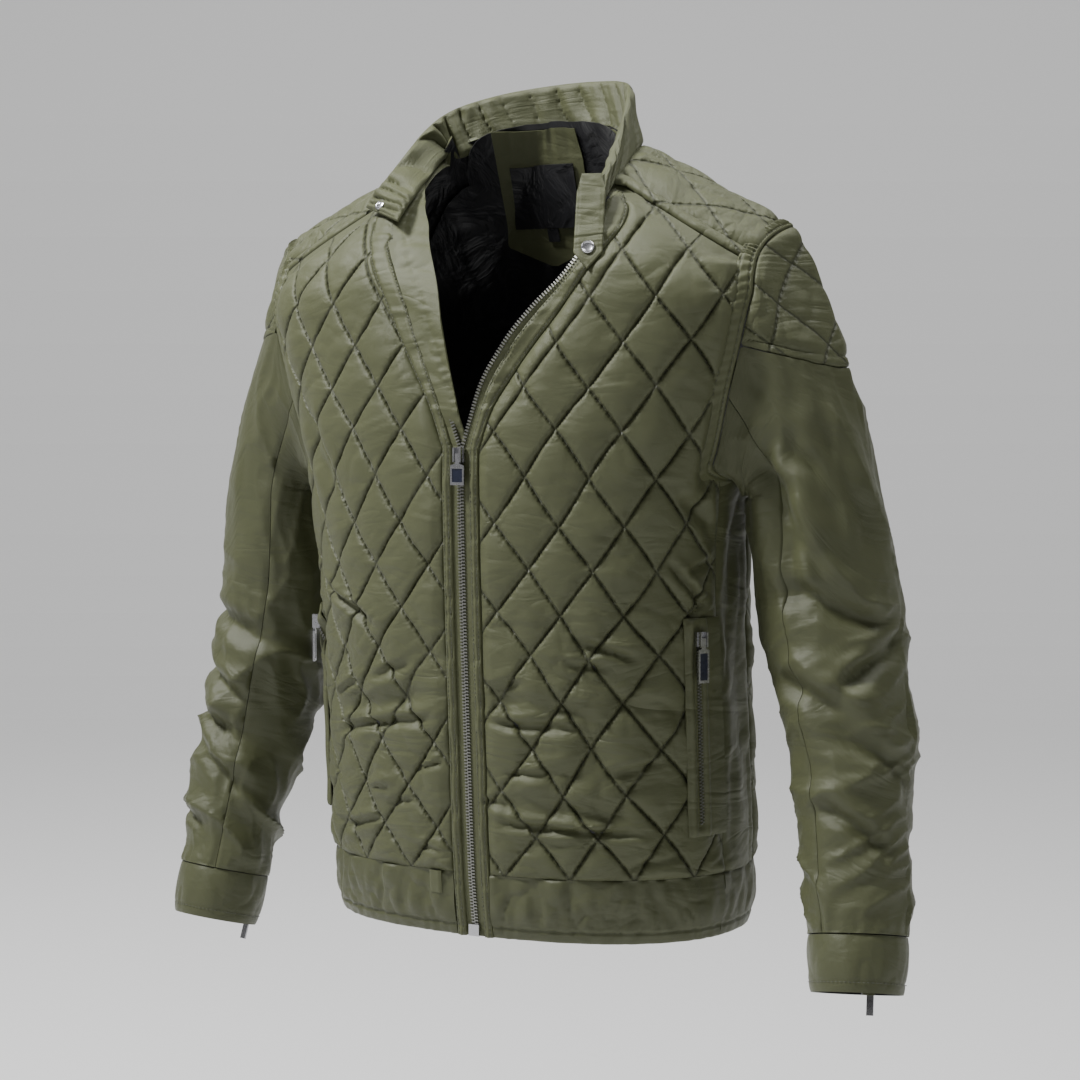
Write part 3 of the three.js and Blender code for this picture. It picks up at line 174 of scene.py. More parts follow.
def shell_cloth(name, quilted=False, tone=1.0, roughness=0.5, rumpled=0.0006):
    """Olive shell; quilted adds the diamond stitch lines, read from the cloth's own UV, and darkens
    their grooves with painted shade.
    """
    color = color_scaled(OLIVE, tone)
    material, start, shader = new_material(
        name, Specular_IOR_Level=0.34, Sheen_Weight=0.05, Sheen_Roughness=0.4
    )
    uv = start.node("UVMap", {"uv_map": "cloth"})
    across = start.node("SeparateXYZ", None, {0: uv}, 0)
    up = start.node("SeparateXYZ", None, {0: uv}, 1)
    weave = across.math("MULTIPLY", 2 * math.pi / WEAVE_PITCH).math("SINE")
    weave = weave * up.math("MULTIPLY", 2 * math.pi / WEAVE_PITCH).math("SINE")
    cloudy, fine = noise(uv, 9.0, 4.0), noise(uv, 420.0)
    stretched = start.node("CombineXYZ", None, {0: across * 24, 1: up * 62})
    crease, wide = noise(stretched, 1.0, 3.5, 0.9), noise(stretched, 0.42, 2.0, 1.6)
    valley = ((crease - 0.5).math("ABSOLUTE") * 4.5).clamped() * 0.5
    valley = valley + ((wide - 0.5).math("ABSOLUTE") * 5).clamped() * 1.6
    if quilted:
        valley = valley * (((0.34 - up) * 5).clamped() * 0.75 + 0.35)
    shade = (cloudy - 0.5) * 0.34 + (fine - 0.5) * 0.16 + weave * 0.03 + 0.5
    base = mixed(shade.clamped(), color_scaled(color, 0.78), color_scaled(color, 1.22))
    height = weave * 0.00003 + fine * 0.00007 + valley * rumpled
    gloss = (crease - 0.5) * 0.12 + (fine - 0.5) * 0.1 + roughness
    if quilted:
        x = across / DIAMOND_WIDTH
        y = up / DIAMOND_HEIGHT
        spacing = 1 / math.hypot(1 / DIAMOND_WIDTH, 1 / DIAMOND_HEIGHT)
        painted_groove_shade = None
        for slant in (1, -1):
            line = x + y * slant
            gap = ((line + 0.5).math("FRACT") - 0.5).math("ABSOLUTE") * spacing
            groove = ((gap / 0.0011) ** 2 * -1).math("EXPONENT")
            run = (x - y * slant) * (spacing / STITCH / 2)
            dash = ((run.math("FRACT") - 0.5).math("ABSOLUTE") * 5 - 0.6).clamped()
            thread = groove * (1 - dash)
            near = ((gap / 0.006) ** 2 * -1).math("EXPONENT")
            pucker = noise(uv, 170.0, 1.5, 0.6)
            height = height + near * pucker * 0.0009 - groove * 0.0011 + thread * 0.0006
            painted_groove_shade = groove if painted_groove_shade is None else painted_groove_shade.math("MAXIMUM", groove)
        # Painted shade: the cloth is darkened along each quilting groove, down towards a quarter of
        # its olive.
        base = mixed((painted_groove_shade * 0.62).clamped(), base, color_scaled(color, 0.25))
    plug(material, base, shader.inputs["Base Color"])
    plug(material, gloss.clamped(), shader.inputs["Roughness"])
    grained(material, shader, height)
    return material


shell = shell_cloth("olive_shell")
quilted_shell = shell_cloth("olive_quilted_shell", quilted=True)
# The sleeves' copy, also used on the cuffs and waistband, is darker: painted shade.
sleeve_shell = shell_cloth("olive_sleeve_shell", tone=0.86, roughness=0.45, rumpled=0.0003)
trim_shell = shell_cloth("olive_trim", tone=1.05, rumpled=0.0003)

lining_satin, start, shader = new_material(
    "black_satin_lining", Specular_IOR_Level=0.4, Sheen_Weight=0.1
)
uv = start.node("UVMap", {"uv_map": "cloth"})
soft, grain = noise(uv, 24.0, 4.0, 2.0), noise(uv, 700.0, 1.0)
# Painted sheen: the black turns lighter where the soft wrinkles of the bump rise.
plug(lining_satin, mixed(soft.clamped(), BLACK, color_scaled(BLACK, 2.4)), shader.inputs["Base Color"])
plug(lining_satin, ((grain - 0.5) * 0.2 + 0.38).clamped(), shader.inputs["Roughness"])
grained(lining_satin, shader, soft * 0.0035 + grain * 0.00003)

# ## Fronts
# Two padded fronts, quilted in diamonds 50 by 68 mm, run from the zip placket round to the side
# seam and the armhole. They are drawn in millimetres on the form that a wearer gives the body.
HEM_EDGE, HEM_SEAM, UNDERARM = -607, -557, -251
YOKE_CORNER, YOKE_NECK, NECK_BACK, ZIP_OPEN = -115, -13, 30, -228
FRONT_CORNER, FRONT_NECK = -91, -28
WALL, SEAM_GAP = 2.2, 0.15
TORSO = {
    "height": [-607, -557, -450, -345, -251, -180, -115, -60, -20, 30],
    "half_width": [171, 175, 175, 176, 184, 206, 226, 238, 239, 240],
    "front": [-90, -97, -104, -110, -113, -110, -103, -97, -93, -90],
    "back": [142, 147, 138, 124, 114, 106, 94, 76, 61, 46],
    "middle": [27, 27, 21, 12, 4, 0, 0, 0, 0, 0],
}
SQUARENESS, SHOULDER_BEND, SHOULDER_SLOPE = 2.3, 1.6, 1.3
SHOULDER_ROUND = {"neck": 105, "point": 76, "start": 90}
RIDGE_NECK, RIDGE_POINT, SHOULDER_POINT = 6, -62, 226
NECK_RISE, NECK_FALL = 1.5, 0.5
NECK_HALF = {1: 100, -1: 83}
ARMHOLE_FRONT = {
    "height": [-251, -235, -210, -180, -150, -115],
    "x": [176, 180, 187, 195, 203, 211],
}
OPENING = {
    1: {
        "height": [-228, -215, -181, -151, -121, -86, -58, -30, -13],
        "x": [5, 9, 20, 37, 60, 91, 101, 103, 100],
    },
    -1: {
        "height": [-228, -215, -192, -148, -110, -73, -50, -31, -13],
        "x": [-5, 0, 8, 28, 46, 68, 77, 77, 84],
    },
}
ZIP_TOP = {1: -85, -1: -73}
PLACKET_EDGE = {
    1: {
        "height": [-228, -195, -162, -120, -85, -63, -48, -34],
        "x": [21.5, 33, 54, 86, 110, 121, 120, 110],
    },
    -1: {"height": [-228, -195, -148, -110, -73, -50], "x": [11.5, 25, 52, 73, 94, 101]},
}
PLACKET_TOP = {1: -36, -1: -50}
ZIP_X, ZIP_CLEARANCE, TAPE_WIDTH, PLACKET_CLOSED = 5, 0.5, 7, 8.5
SIDE_SEAM_FRONT, SIDE_SEAM_BACK = 0.448, 0.57
SIDE = {1: "left", -1: "right"}


def bell(x):
    """A smooth hill of height 1 on 0, or a groove where it is taken off."""
    return np.exp(-(x**2))


def eased(x):
    """The rounded shoulder of an edge, from 0 on it to 1 inside."""
    return np.clip(x, 0, 1) ** 0.5


def placed(name, data):
    """A new object in the scene."""
    made = bpy.data.objects.new(name, data)
    bpy.context.scene.collection.objects.link(made)
    return made


def smooth_faces(mesh, sharp_degrees=None):
    mesh.polygons.foreach_set("use_smooth", np.ones(len(mesh.polygons), bool))
    if sharp_degrees:
        mesh.set_sharp_from_angle(angle=math.radians(sharp_degrees))


def read(table, key, column, at):
    """A table's column at a key between its rows, on a smooth curve through them."""
    keys = np.array(table[key], float)
    values = np.array(table[column], float)
    last = len(keys) - 1
    at = np.asarray(at, float)
    i = np.clip(np.searchsorted(keys, at) - 1, 0, last - 1)
    span = keys[i + 1] - keys[i]
    t = np.clip((at - keys[i]) / span, 0, 1)

    def slope(k):
        a, b = np.maximum(k - 1, 0), np.minimum(k + 1, last)
        return (values[b] - values[a]) / (keys[b] - keys[a]) * span

    rise = t * t * (3 - 2 * t)
    ends = (1 - rise) * values[i] + rise * values[i + 1]
    return ends + (t**3 - 2 * t**2 + t) * slope(i) + (t**3 - t**2) * slope(i + 1)


def smooth(x):
    x = np.clip(x, 0, 1)
    return x * x * (3 - 2 * x)


def blend(a, b, share):
    return a + (b - a) * share


def ridge(side, x, on_back):
    """Height of the shoulder's ridge this far out. Inside the neck the back rises."""
    neck = NECK_HALF[side]
    out = x - neck
    inner = RIDGE_NECK - out * (NECK_RISE if on_back else -NECK_FALL)
    outer = blend(RIDGE_NECK, RIDGE_POINT, out / (SHOULDER_POINT - neck))
    return np.where(out < 0, inner, outer)


def shoulder_round(x):
    first = SHOULDER_ROUND["start"]
    share = np.clip((x - first) / (SHOULDER_POINT - first), 0, 1)
    return blend(SHOULDER_ROUND["neck"], SHOULDER_ROUND["point"], share)


def depth_at_turn(turn):
    return (1 - np.maximum(np.cos(turn), 0) ** SHOULDER_BEND) ** (1 / SHOULDER_SLOPE)


def body_at(column, height):
    return read(TORSO, "height", column, height)


rings = {}


def ring(side, height):
    """Half a level section of the body: x, y and the distance round from the front's middle."""
    key = (side, round(float(height), 3))
    if key not in rings:
        angle = np.linspace(0, math.pi, 161)
        x = body_at("half_width", height) * np.abs(np.sin(angle)) ** (2 / SQUARENESS)
        on_back = angle > math.pi / 2
        crest = np.where(on_back, ridge(side, x, True), ridge(side, x, False))
        below = np.clip((crest - height) / shoulder_round(x), 0, 1)
        share = depth_at_turn(np.arccos(1 - below)) * np.abs(np.cos(angle)) ** (2 / SQUARENESS)
        toward = np.where(on_back, body_at("back", height), body_at("front", height))
        middle = body_at("middle", height)
        y = middle + (toward - middle) * share
        steps = np.hypot(np.diff(x), np.diff(y))
        rings[key] = (x, y, np.concatenate([[0], np.cumsum(steps)]))
    return rings[key]


def body_row(side, along, height):
    """Points of one level section. A distance below 0 lies on the body's other side."""
    along = np.asarray(along, float)
    points = np.zeros((len(along), 3))
    for here, mask in ((side, along >= 0), (-side, along < 0)):
        x, y, marks = ring(here, height)
        points[mask, 0] = here * np.interp(np.abs(along[mask]), marks, x)
        points[mask, 1] = np.interp(np.abs(along[mask]), marks, y)
    points[:, 2] = height
    return points


def half_round(side, height):
    return ring(side, height)[2][-1]


def along_at_x(side, x, height, on_back=False):
    """Distance round to where the section passes x."""
    if x < 0:
        return x
    xs, _, marks = ring(side, height)
    half = len(xs) // 2
    if on_back:
        return float(np.interp(x, xs[half:][::-1], marks[half:][::-1]))
    return float(np.interp(x, xs[: half + 1], marks[: half + 1]))


class Form:
    """A smooth cloth form, sampled on a grid of (u, v) with its outward normals."""

    def __init__(self, point_row, us, vs, outward):
        self.start = (us[0], vs[0])
        self.pitch = (us[1] - us[0], vs[1] - vs[0])
        self.points = np.array([point_row(us, v) for v in vs])
        across = np.gradient(self.points, axis=1)
        up = np.gradient(self.points, axis=0)
        normals = np.cross(across, up) * outward
        self.normals = normals / np.maximum(np.linalg.norm(normals, axis=2, keepdims=True), 1e-9)

    def sampled(self, grid, u, v):
        fu = (np.asarray(u, float) - self.start[0]) / self.pitch[0]
        fv = (np.asarray(v, float) - self.start[1]) / self.pitch[1]
        iu, iv = np.floor(fu).astype(int), np.floor(fv).astype(int)
        tu, tv = fu - iu, fv - iv

        def weights(t):
            return (
                -0.5 * t**3 + t**2 - 0.5 * t,
                1.5 * t**3 - 2.5 * t**2 + 1,
                -1.5 * t**3 + 2 * t**2 + 0.5 * t,
                0.5 * t**3 - 0.5 * t**2,
            )

        total = 0
        for b, wv in enumerate(weights(tv)):
            row = np.clip(iv + b - 1, 0, grid.shape[0] - 1)
            for a, wu in enumerate(weights(tu)):
                column = np.clip(iu + a - 1, 0, grid.shape[1] - 1)
                total = total + grid[row, column] * (wu * wv)[..., None]
        return total

    def __call__(self, u, v, out=0.0):
        u, v = np.broadcast_arrays(np.asarray(u, float), np.asarray(v, float))
        normal = self.sampled(self.normals, u, v)
        normal /= np.maximum(np.linalg.norm(normal, axis=-1, keepdims=True), 1e-9)
        return self.sampled(self.points, u, v) + normal * np.asarray(out)[..., None]


body_heights = np.arange(-616, 44, 4.0)
body_rounds = np.arange(-64, 640, 4.0)
body = {
    side: Form(lambda u, v, s=side: body_row(s, u, v), body_rounds, body_heights, side)
    for side in (1, -1)
}
rng = np.random.default_rng(7)
ROUGH = rng.uniform(-1, 1, (16, 64, 64))


def rough(u, v, size_u, size_v, layer):
    """Smooth random height from -1 to 1, with bumps of the given sizes."""
    fu = np.asarray(u, float) / size_u + 17.3 * layer
    fv = np.asarray(v, float) / size_v + 9.1 * layer
    iu, iv = np.floor(fu).astype(int), np.floor(fv).astype(int)
    tu, tv = smooth(fu - iu), smooth(fv - iv)
    table = ROUGH[layer % 16]
    corner = lambda a, b: table[(iv + b) % 64, (iu + a) % 64]
    low = blend(corner(0, 0), corner(1, 0), tu)
    high = blend(corner(0, 1), corner(1, 1), tu)
    return blend(low, high, tv)


def folds(table, u, v):
    """Soft troughs with a crest beside each, uneven along their length."""
    total = np.zeros(np.broadcast(u, v).shape)
    for i, (a, h, turn, length, width, depth, bow) in enumerate(table):
        angle = math.radians(turn)
        dx, dy = u - a, v - h
        run = dx * math.cos(angle) + dy * math.sin(angle)
        off = -dx * math.sin(angle) + dy * math.cos(angle)
        off = off - bow * (1 - (2 * run / length) ** 2) + 0.22 * width * rough(run, off, 22, 60, i)
        t = off / (width * (1 + 0.3 * rough(run, 0 * run, 30, 1, i + 3)))
        profile = bell(t) - 0.55 * bell((t - 1.8) / 1.15)
        profile = profile - 0.25 * bell((t + 1.7) / 1.1)
        taper = smooth(1.7 * np.clip(1 - np.abs(run) / (length / 2), 0, 1))
        total = total + depth * profile * taper
    return total


def cushion(u, v):
    """Height of the padding: nothing on the stitch lines and full in each diamond's middle."""
    x, y = u / (1000 * DIAMOND_WIDTH), v / (1000 * DIAMOND_HEIGHT)
    one = np.abs(np.sin(np.pi * (x + y)))
    two = np.abs(np.sin(np.pi * (x - y)))
    return (one * two) ** 0.36


def lattice(rows, left, right, step):
    """Marks along each row: its two ends, and the multiples of the step between them."""
    marks = []
    for v in rows:
        a, b = left(v), right(v)
        inner = np.arange(math.ceil(a / step + 0.4), math.ceil(b / step - 0.4)) * step
        marks.append(np.concatenate([[a], inner, [b]]))
    return marks


def sewn(marks, first_id, height, back_to_front):
    """Faces between each row of marks and the next, cut along the stitch lines."""
    faces = []
    ids = first_id
    flip = (lambda f: f[::-1]) if back_to_front else (lambda f: f)
    for low, high in zip(marks[:-1], marks[1:]):
        top = ids + len(low)
        i = j = 0
        n, m = len(low) - 1, len(high) - 1
        lo, hi = low.tolist(), high.tolist()
        while i < n or j < m:
            if i < n and j < m and abs(lo[i + 1] - hi[j + 1]) < 1e-6:
                a, b, c, d = ids + i, ids + i + 1, top + j, top + j + 1
                if height is None:
                    faces.append(flip((a, b, d, c)))
                elif height[a] + height[d] <= height[b] + height[c]:
                    faces.append(flip((a, b, d)))
                    faces.append(flip((a, d, c)))
                else:
                    faces.append(flip((a, b, c)))
                    faces.append(flip((b, d, c)))
                i += 1
                j += 1
            elif j == m or (i < n and lo[i + 1] <= hi[j + 1]):
                faces.append(flip((ids + i, ids + i + 1, top + j)))
                i += 1
            else:
                faces.append(flip((ids + i, top + j + 1, top + j)))
                j += 1
        ids = top
    return faces


def laddered(a, b):
    """Faces between two chains of (id, mark)."""
    faces, i, j = [], 0, 0
    while i < len(a) - 1 or j < len(b) - 1:
        if j == len(b) - 1 or (i < len(a) - 1 and a[i + 1][1] <= b[j + 1][1]):
            faces.append((a[i][0], a[i + 1][0], b[j][0]))
            i += 1
        else:
            faces.append((a[i][0], b[j + 1][0], b[j][0]))
            j += 1
    return faces


SHARP_CLOTH, SHARP_METAL, CUT_COLUMNS = 62, 40, 12
LEAST_WIDTH, LEAST_FILL = 0.0101, 0.301


def cloth(name, form, rows, left, right, step, materials, puff=None, sag=None, wall=WALL,
          coarse=4, outward=1, unit=(1, 1), both=False, shift=None, origin=HEM_SEAM, pattern=None):
    """A closed thin wall of cloth on a form. sag moves both faces and puff the outer one."""
    flat = lambda u, v: np.zeros(np.shape(u))
    puff, sag = puff or flat, sag or flat
    rows = sorted(rows)
    inner_rows = [v for i, v in enumerate(rows) if i % coarse == 0 or i == len(rows) - 1]
    parts, groups = [], []
    for levels, spacing, is_outer in ((rows, step, True), (inner_rows, step * coarse, False)):
        marks = lattice(levels, left, right, spacing)
        u = np.concatenate(marks)
        v = np.concatenate([np.full(len(m), level) for m, level in zip(marks, levels)])
        lift = sag(u, v) + (puff(u, v) if is_outer else -wall - (puff(u, v) if both else 0))
        du, dv = shift(u, v) if shift else (0, 0)
        parts.append((form(u + du, v + dv, lift), u, v))
        groups.append((marks, levels, puff(u, v) if is_outer and not both else None))
    count = len(parts[0][1])
    turned = outward < 0
    faces = sewn(groups[0][0], 0, groups[0][2], turned)
    outer_faces = len(faces)
    inner = sewn(groups[1][0], count, None, not turned)
    rim = []
    starts = [[0], [count]]
    for k in (0, 1):
        for m in groups[k][0][:-1]:
            starts[k].append(starts[k][-1] + len(m))
    rows_of = [
        [[(s + i, mark) for i, mark in enumerate(m)] for s, m in zip(starts[k], groups[k][0])]
        for k in (0, 1)
    ]
    side_of = lambda k, pick: [(r[pick][0], level) for r, level in zip(rows_of[k], groups[k][1])]
    rim += laddered(rows_of[1][0], rows_of[0][0])
    rim += laddered(rows_of[0][-1], rows_of[1][-1])
    rim += laddered(side_of(1, -1), side_of(0, -1))
    rim += laddered(side_of(0, 0), side_of(1, 0))
    if turned:
        rim = [f[::-1] for f in rim]
    mesh = bpy.data.meshes.new(name)
    points = np.concatenate([p[0] for p in parts]) / 1000
    mesh.from_pydata(points.tolist(), [], faces + rim + inner)
    slots = np.zeros(len(mesh.polygons), int)
    if len(materials) > 1:
        slots[outer_faces + len(rim):] = 1
    mesh.polygons.foreach_set("material_index", slots)
    for material in materials:
        mesh.materials.append(material)
    uv = np.stack([np.concatenate([p[1] for p in parts]) * unit[0],
                   np.concatenate([p[2] for p in parts]) * unit[1]], axis=1) / 1000
    uv -= (0, origin / 1000)
    if pattern:
        both_uv = [np.stack(pattern(u, v), axis=1) for _, u, v in parts]
        uv = np.concatenate(both_uv) / 1000
    corner = np.zeros(len(mesh.loops), int)
    mesh.loops.foreach_get("vertex_index", corner)
    layer = mesh.uv_layers.new(name="cloth")
    layer.data.foreach_set("uv", uv[corner].ravel())
    mesh.validate()
    smooth_faces(mesh, SHARP_CLOTH)
    piece = placed(name, mesh)
    levels = np.array(rows)
    ends = np.array([(left(v), right(v)) for v in rows])
    if shift:
        ends = ends + shift(ends[:, 0], levels)[0][:, None]
    columns = np.stack([
        form(blend(ends[:, 0], ends[:, 1], k / CUT_COLUMNS), levels) for k in range(CUT_COLUMNS + 1)
    ])
    widths = np.linalg.norm(np.diff(columns, axis=0), axis=2).sum(axis=0)
    steps = np.linalg.norm(np.diff(columns, axis=1), axis=2)
    area = float(np.sum((widths[1:] + widths[:-1]) / 2 * steps.mean(axis=0))) / 1e6
    piece["cut"] = [float(widths.max()) / 1000, float(steps.sum(axis=1).max()) / 1000, area]
    return piece


def sew_on(piece, nodes):
    """The piece stands for its CAD solids and hangs on the jacket."""
    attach(piece, "jacket")
    if nodes:
        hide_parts(*nodes)
    width, length, area = piece["cut"]
    del piece["cut"]
    width = max(width, LEAST_WIDTH)
    max(area, LEAST_FILL * width * length)


def spaced(low, high, pitch, origin=HEM_SEAM):
    """Rows at the lattice's pitch between two exact ends."""
    first = math.ceil((low - origin) / pitch + 0.4)
    last = math.ceil((high - origin) / pitch - 0.4)
    return [low, *[origin + k * pitch for k in range(first, last)], high]


def zip_edge(side, height):
    x = side * ZIP_X if height <= ZIP_OPEN else float(read(OPENING[side], "height", "x", height))
    return along_at_x(side, x + ZIP_CLEARANCE, height)


def placket_inner(side, height):
    above = min(max((height - ZIP_TOP[side]) / 6, 0), 1)
    return zip_edge(side, height) + blend(TAPE_WIDTH, 1, above)


def placket_outer(side, height):
    if height <= ZIP_OPEN:
        return placket_inner(side, height) + PLACKET_CLOSED
    return along_at_x(side, float(read(PLACKET_EDGE[side], "height", "x", height)), height)


def side_seam_front(side, height):
    return half_round(side, height) * SIDE_SEAM_FRONT


def side_seam_back(side, height):
    return half_round(side, height) * SIDE_SEAM_BACK


def yoke_x(neck_x, corner_x, height):
    return blend(neck_x, corner_x, (YOKE_NECK - height) / (YOKE_NECK - YOKE_CORNER))


def yoke_gap(height):
    return blend(0.5, 1.4, min(max((height + 60) / 45, 0), 1))


def front_left(side):
    def edge(v):
        if v < PLACKET_TOP[side] + 1:
            return placket_outer(side, v) + SEAM_GAP
        return along_at_x(side, float(read(OPENING[side], "height", "x", v)) + 1, v)
    return edge


def front_right(side):
    left = front_left(side)

    def edge(v):
        seam = side_seam_front(side, v) - SEAM_GAP
        if v < UNDERARM:
            return seam
        if v < FRONT_CORNER:
            x = float(read(ARMHOLE_FRONT, "height", "x", v))
        else:
            share = (FRONT_NECK - v) / (FRONT_NECK - FRONT_CORNER)
            x = blend(NECK_HALF[side] + 8, ARMHOLE_FRONT["x"][-1], share) - yoke_gap(v)
        armhole = along_at_x(side, x, v) - SEAM_GAP
        return max(blend(seam, armhole, float(smooth((v - UNDERARM) / 14))), left(v) + 2)
    return edge


# Each fold: along, height, turn, length, width, depth, bow
FRONT_FOLDS = {
    1: [
        (62, -150, 62, 150, 13, -5, 4),
        (62, -440, -5, 100, 3.4, -4.2, 2),
        (86, -519, -4, 145, 3.8, -4.0, 3),
        (120, -381, -20, 60, 3.4, -3.6, 2),
        (105, -392, -6, 44, 3.0, -2.8, 1),
        (180, -330, -50, 56, 4.0, -4.6, 2),
        (196, -318, 12, 44, 3.2, -3.4, 1),
        (190, -352, 38, 40, 3.2, -3.2, 1),
        (196, -285, -42, 80, 8, -4.5, 3),
        (54, -475, 0, 42, 2.6, -2.4, 1),
        (28, -501, -8, 30, 2.6, -2.4, 1),
        (142, -470, 14, 50, 3.0, -2.8, 1),
        (150, -545, 10, 60, 3.0, -2.6, 2),
        (40, -410, 6, 34, 2.6, -2.2, 1),
        (205, -232, 70, 90, 8, -4, 2),
        (150, -425, -8, 60, 7, -3.4, 2),
        (84, -500, -4, 130, 9, -2.8, 2),
        (64, -426, -5, 110, 9, -3.0, 2),
    ],
    -1: [
        (80, -447, -10, 145, 3.6, -4.8, 3),
        (100, -526, -18, 60, 3.2, -3.4, 1),
        (147, -490, 0, 32, 2.6, -2.6, 1),
        (78, -494, -8, 28, 2.6, -2.4, 1),
        (57, -504, -10, 30, 2.6, -2.4, 1),
        (30, -475, -12, 30, 2.6, -2.4, 1),
        (30, -541, 10, 28, 2.6, -2.2, 1),
        (120, -352, 22, 110, 4.0, -4.4, 3),
        (200, -300, 82, 150, 8, -6.0, 2),
        (222, -350, 78, 150, 7, -5.6, 2),
        (180, -385, -58, 70, 4.0, -4.4, 2),
        (60, -405, -14, 50, 3.0, -2.8, 1),
        (120, -420, -20, 46, 3.0, -3.0, 1),
        (150, -235, 60, 90, 9, -4, 3),
        (82, -430, -10, 140, 9, -3.2, 2),
    ],
}


def front_sag(side):
    seam = [half_round(side, h) * SIDE_SEAM_FRONT for h in body_heights]

    def sag(u, v):
        to_seam = np.interp(v, body_heights, seam) - u
        return folds(FRONT_FOLDS[side], u, v) * smooth(to_seam / 14)
    return sag


def edge_distance(left, right, low, high):
    """Distance in from a panel's outline, worked out on a fine table of its rows."""
    levels = np.linspace(low, high, 300)
    lefts = np.array([left(v) for v in levels])
    rights = np.array([right(v) for v in levels])
    slope_l = np.hypot(1, np.gradient(lefts, levels))
    slope_r = np.hypot(1, np.gradient(rights, levels))

    def inside(u, v):
        a = (u - np.interp(v, levels, lefts)) / np.interp(v, levels, slope_l)
        b = (np.interp(v, levels, rights) - u) / np.interp(v, levels, slope_r)
        return a, b
    return inside


def well_in(inside, u, v):
    """0 on a panel's outline and 1 from 25 mm inside it."""
    return np.clip(np.minimum(*inside(u, v)) / 25, 0, 1)


def crumple(u, v, layer, length=26, width=8):
    """Short soft ridges that lie along u."""
    ridged = 1 - 2 * np.abs(rough(u, v + 3 * rough(u, v, 18, 18, layer + 5), length, width, layer))
    return ridged * np.clip(rough(u, v, 60, 40, layer + 2) + 0.35, 0, 1)


def creased(u, v, length, width, layer, lean=0.0):
    """Rounded puffs between narrow valleys that run along u, leaning by an angle."""
    c, s = np.cos(np.radians(lean)), np.sin(np.radians(lean))
    a, b = u * c + v * s, v * c - u * s
    b = b + 0.5 * width * rough(a, b, length * 0.7, length * 0.7, layer + 4)
    return 1.7 * np.abs(rough(a, b, length, width, layer)) ** 0.65 - 0.75


PUFF = 4.6
QUILT_ROW, QUILT_MARK = 68 / 28, 50 / 28
FRONT_TOP = FRONT_NECK - 8
GRID_SHIFT = {1: -17, -1: 0}
for side in (1, -1):
    left, right = front_left(side), front_right(side)
    inside = edge_distance(left, right, HEM_SEAM, FRONT_TOP)
    set_off = GRID_SHIFT[side]

    def puff(u, v, inside=inside, side=side, set_off=set_off):
        x = u + set_off
        a, b = inside(x, v)
        b = b - 8.5 * smooth((v - UNDERARM - 4) / 10)
        near = eased(np.minimum(np.minimum(a, b), v - HEM_SEAM) / 8)
        full = cushion(u, v - HEM_SEAM)
        low = 0.35 + 0.65 * smooth((-290 - v) / 130)
        patch = np.clip(0.6 + 0.8 * rough(x, v, 55, 45, 6 + side), 0, 1)
        soft = PUFF * full * (1 + 0.25 * rough(x, v, 30, 36, 3))
        long = 2.6 * creased(x, v, 58, 19, 4 + side, 6 * side) * (0.45 + 0.55 * full)
        soft = soft + low * patch * long
        small = 0.9 * creased(x, v, 22, 8, 9 + side, -20)
        soft = soft + small * (0.3 + 0.7 * low) * (0.5 + 0.5 * full)
        soft = soft + 1.1 * (1 - full) * rough(x, v, 7, 7, 12) * (1 - full)
        return soft * near

    piece = cloth(
        "front_panel_" + SIDE[side], body[side], spaced(HEM_SEAM + SEAM_GAP, FRONT_TOP, QUILT_ROW),
        lambda v, f=left, o=set_off: f(v) - o, lambda v, f=right, o=set_off: f(v) - o, QUILT_MARK,
        (quilted_shell, lining_satin), puff, lambda u, v, f=front_sag(side), o=set_off: f(u + o, v),
        coarse=3, outward=side,
        shift=lambda u, v, inside=inside, o=set_off: (
            o + 3.4 * rough(u, v, 60, 80, 9) * well_in(inside, u + o, v),
            4.2 * rough(u, v, 70, 55, 11) * well_in(inside, u + o, v)
            * smooth((v - HEM_SEAM) / 40) * smooth((FRONT_TOP - v) / 40),
        ),
    )
    sew_on(piece, ["front_" + SIDE[side]])

# ## Side panels
# A plain padded panel under each arm joins front and back, cut straight with two long seams.
# It hangs in soft upright folds.
SIDE_FOLDS = {
    1: [(24, -330, 84, 170, 11, -3.5, 3), (40, -440, 95, 190, 12, -3, 4),
        (14, -500, 80, 120, 9, -2.5, 2)],
    -1: [(30, -350, 96, 180, 12, -3.5, 3), (18, -460, 85, 160, 10, -3, 3)],
}
for side in (1, -1):
    seam_a = lambda v, s=side: side_seam_front(s, v) + SEAM_GAP
    seam_b = lambda v, s=side: side_seam_back(s, v) - SEAM_GAP
    inside = edge_distance(seam_a, seam_b, HEM_SEAM, UNDERARM)

    def puff(u, v, inside=inside):
        near = np.clip(np.minimum(*inside(u, v)) / 7, 0, 1) ** 0.6
        wrinkles = 1.5 * creased(v, u, 60, 16, 6, 10) + 0.7 * creased(u, v, 30, 9, 8, 15)
        return 1.2 * near + near * wrinkles

    def sag(u, v, side=side):
        start = np.interp(v, body_heights, [side_seam_front(side, h) for h in body_heights])
        end = np.interp(v, body_heights, [side_seam_back(side, h) for h in body_heights])
        inner = smooth((u - start) / 14) * smooth((end - u) / 14)
        return folds(SIDE_FOLDS[side], u - start, v) * inner

    piece = cloth("side_panel_" + SIDE[side], body[side],
                  spaced(HEM_SEAM + SEAM_GAP, UNDERARM - SEAM_GAP, 3),
                  seam_a, seam_b, 2.6, (shell, lining_satin), puff, sag, outward=side)
    sew_on(piece, ["side_" + SIDE[side]])

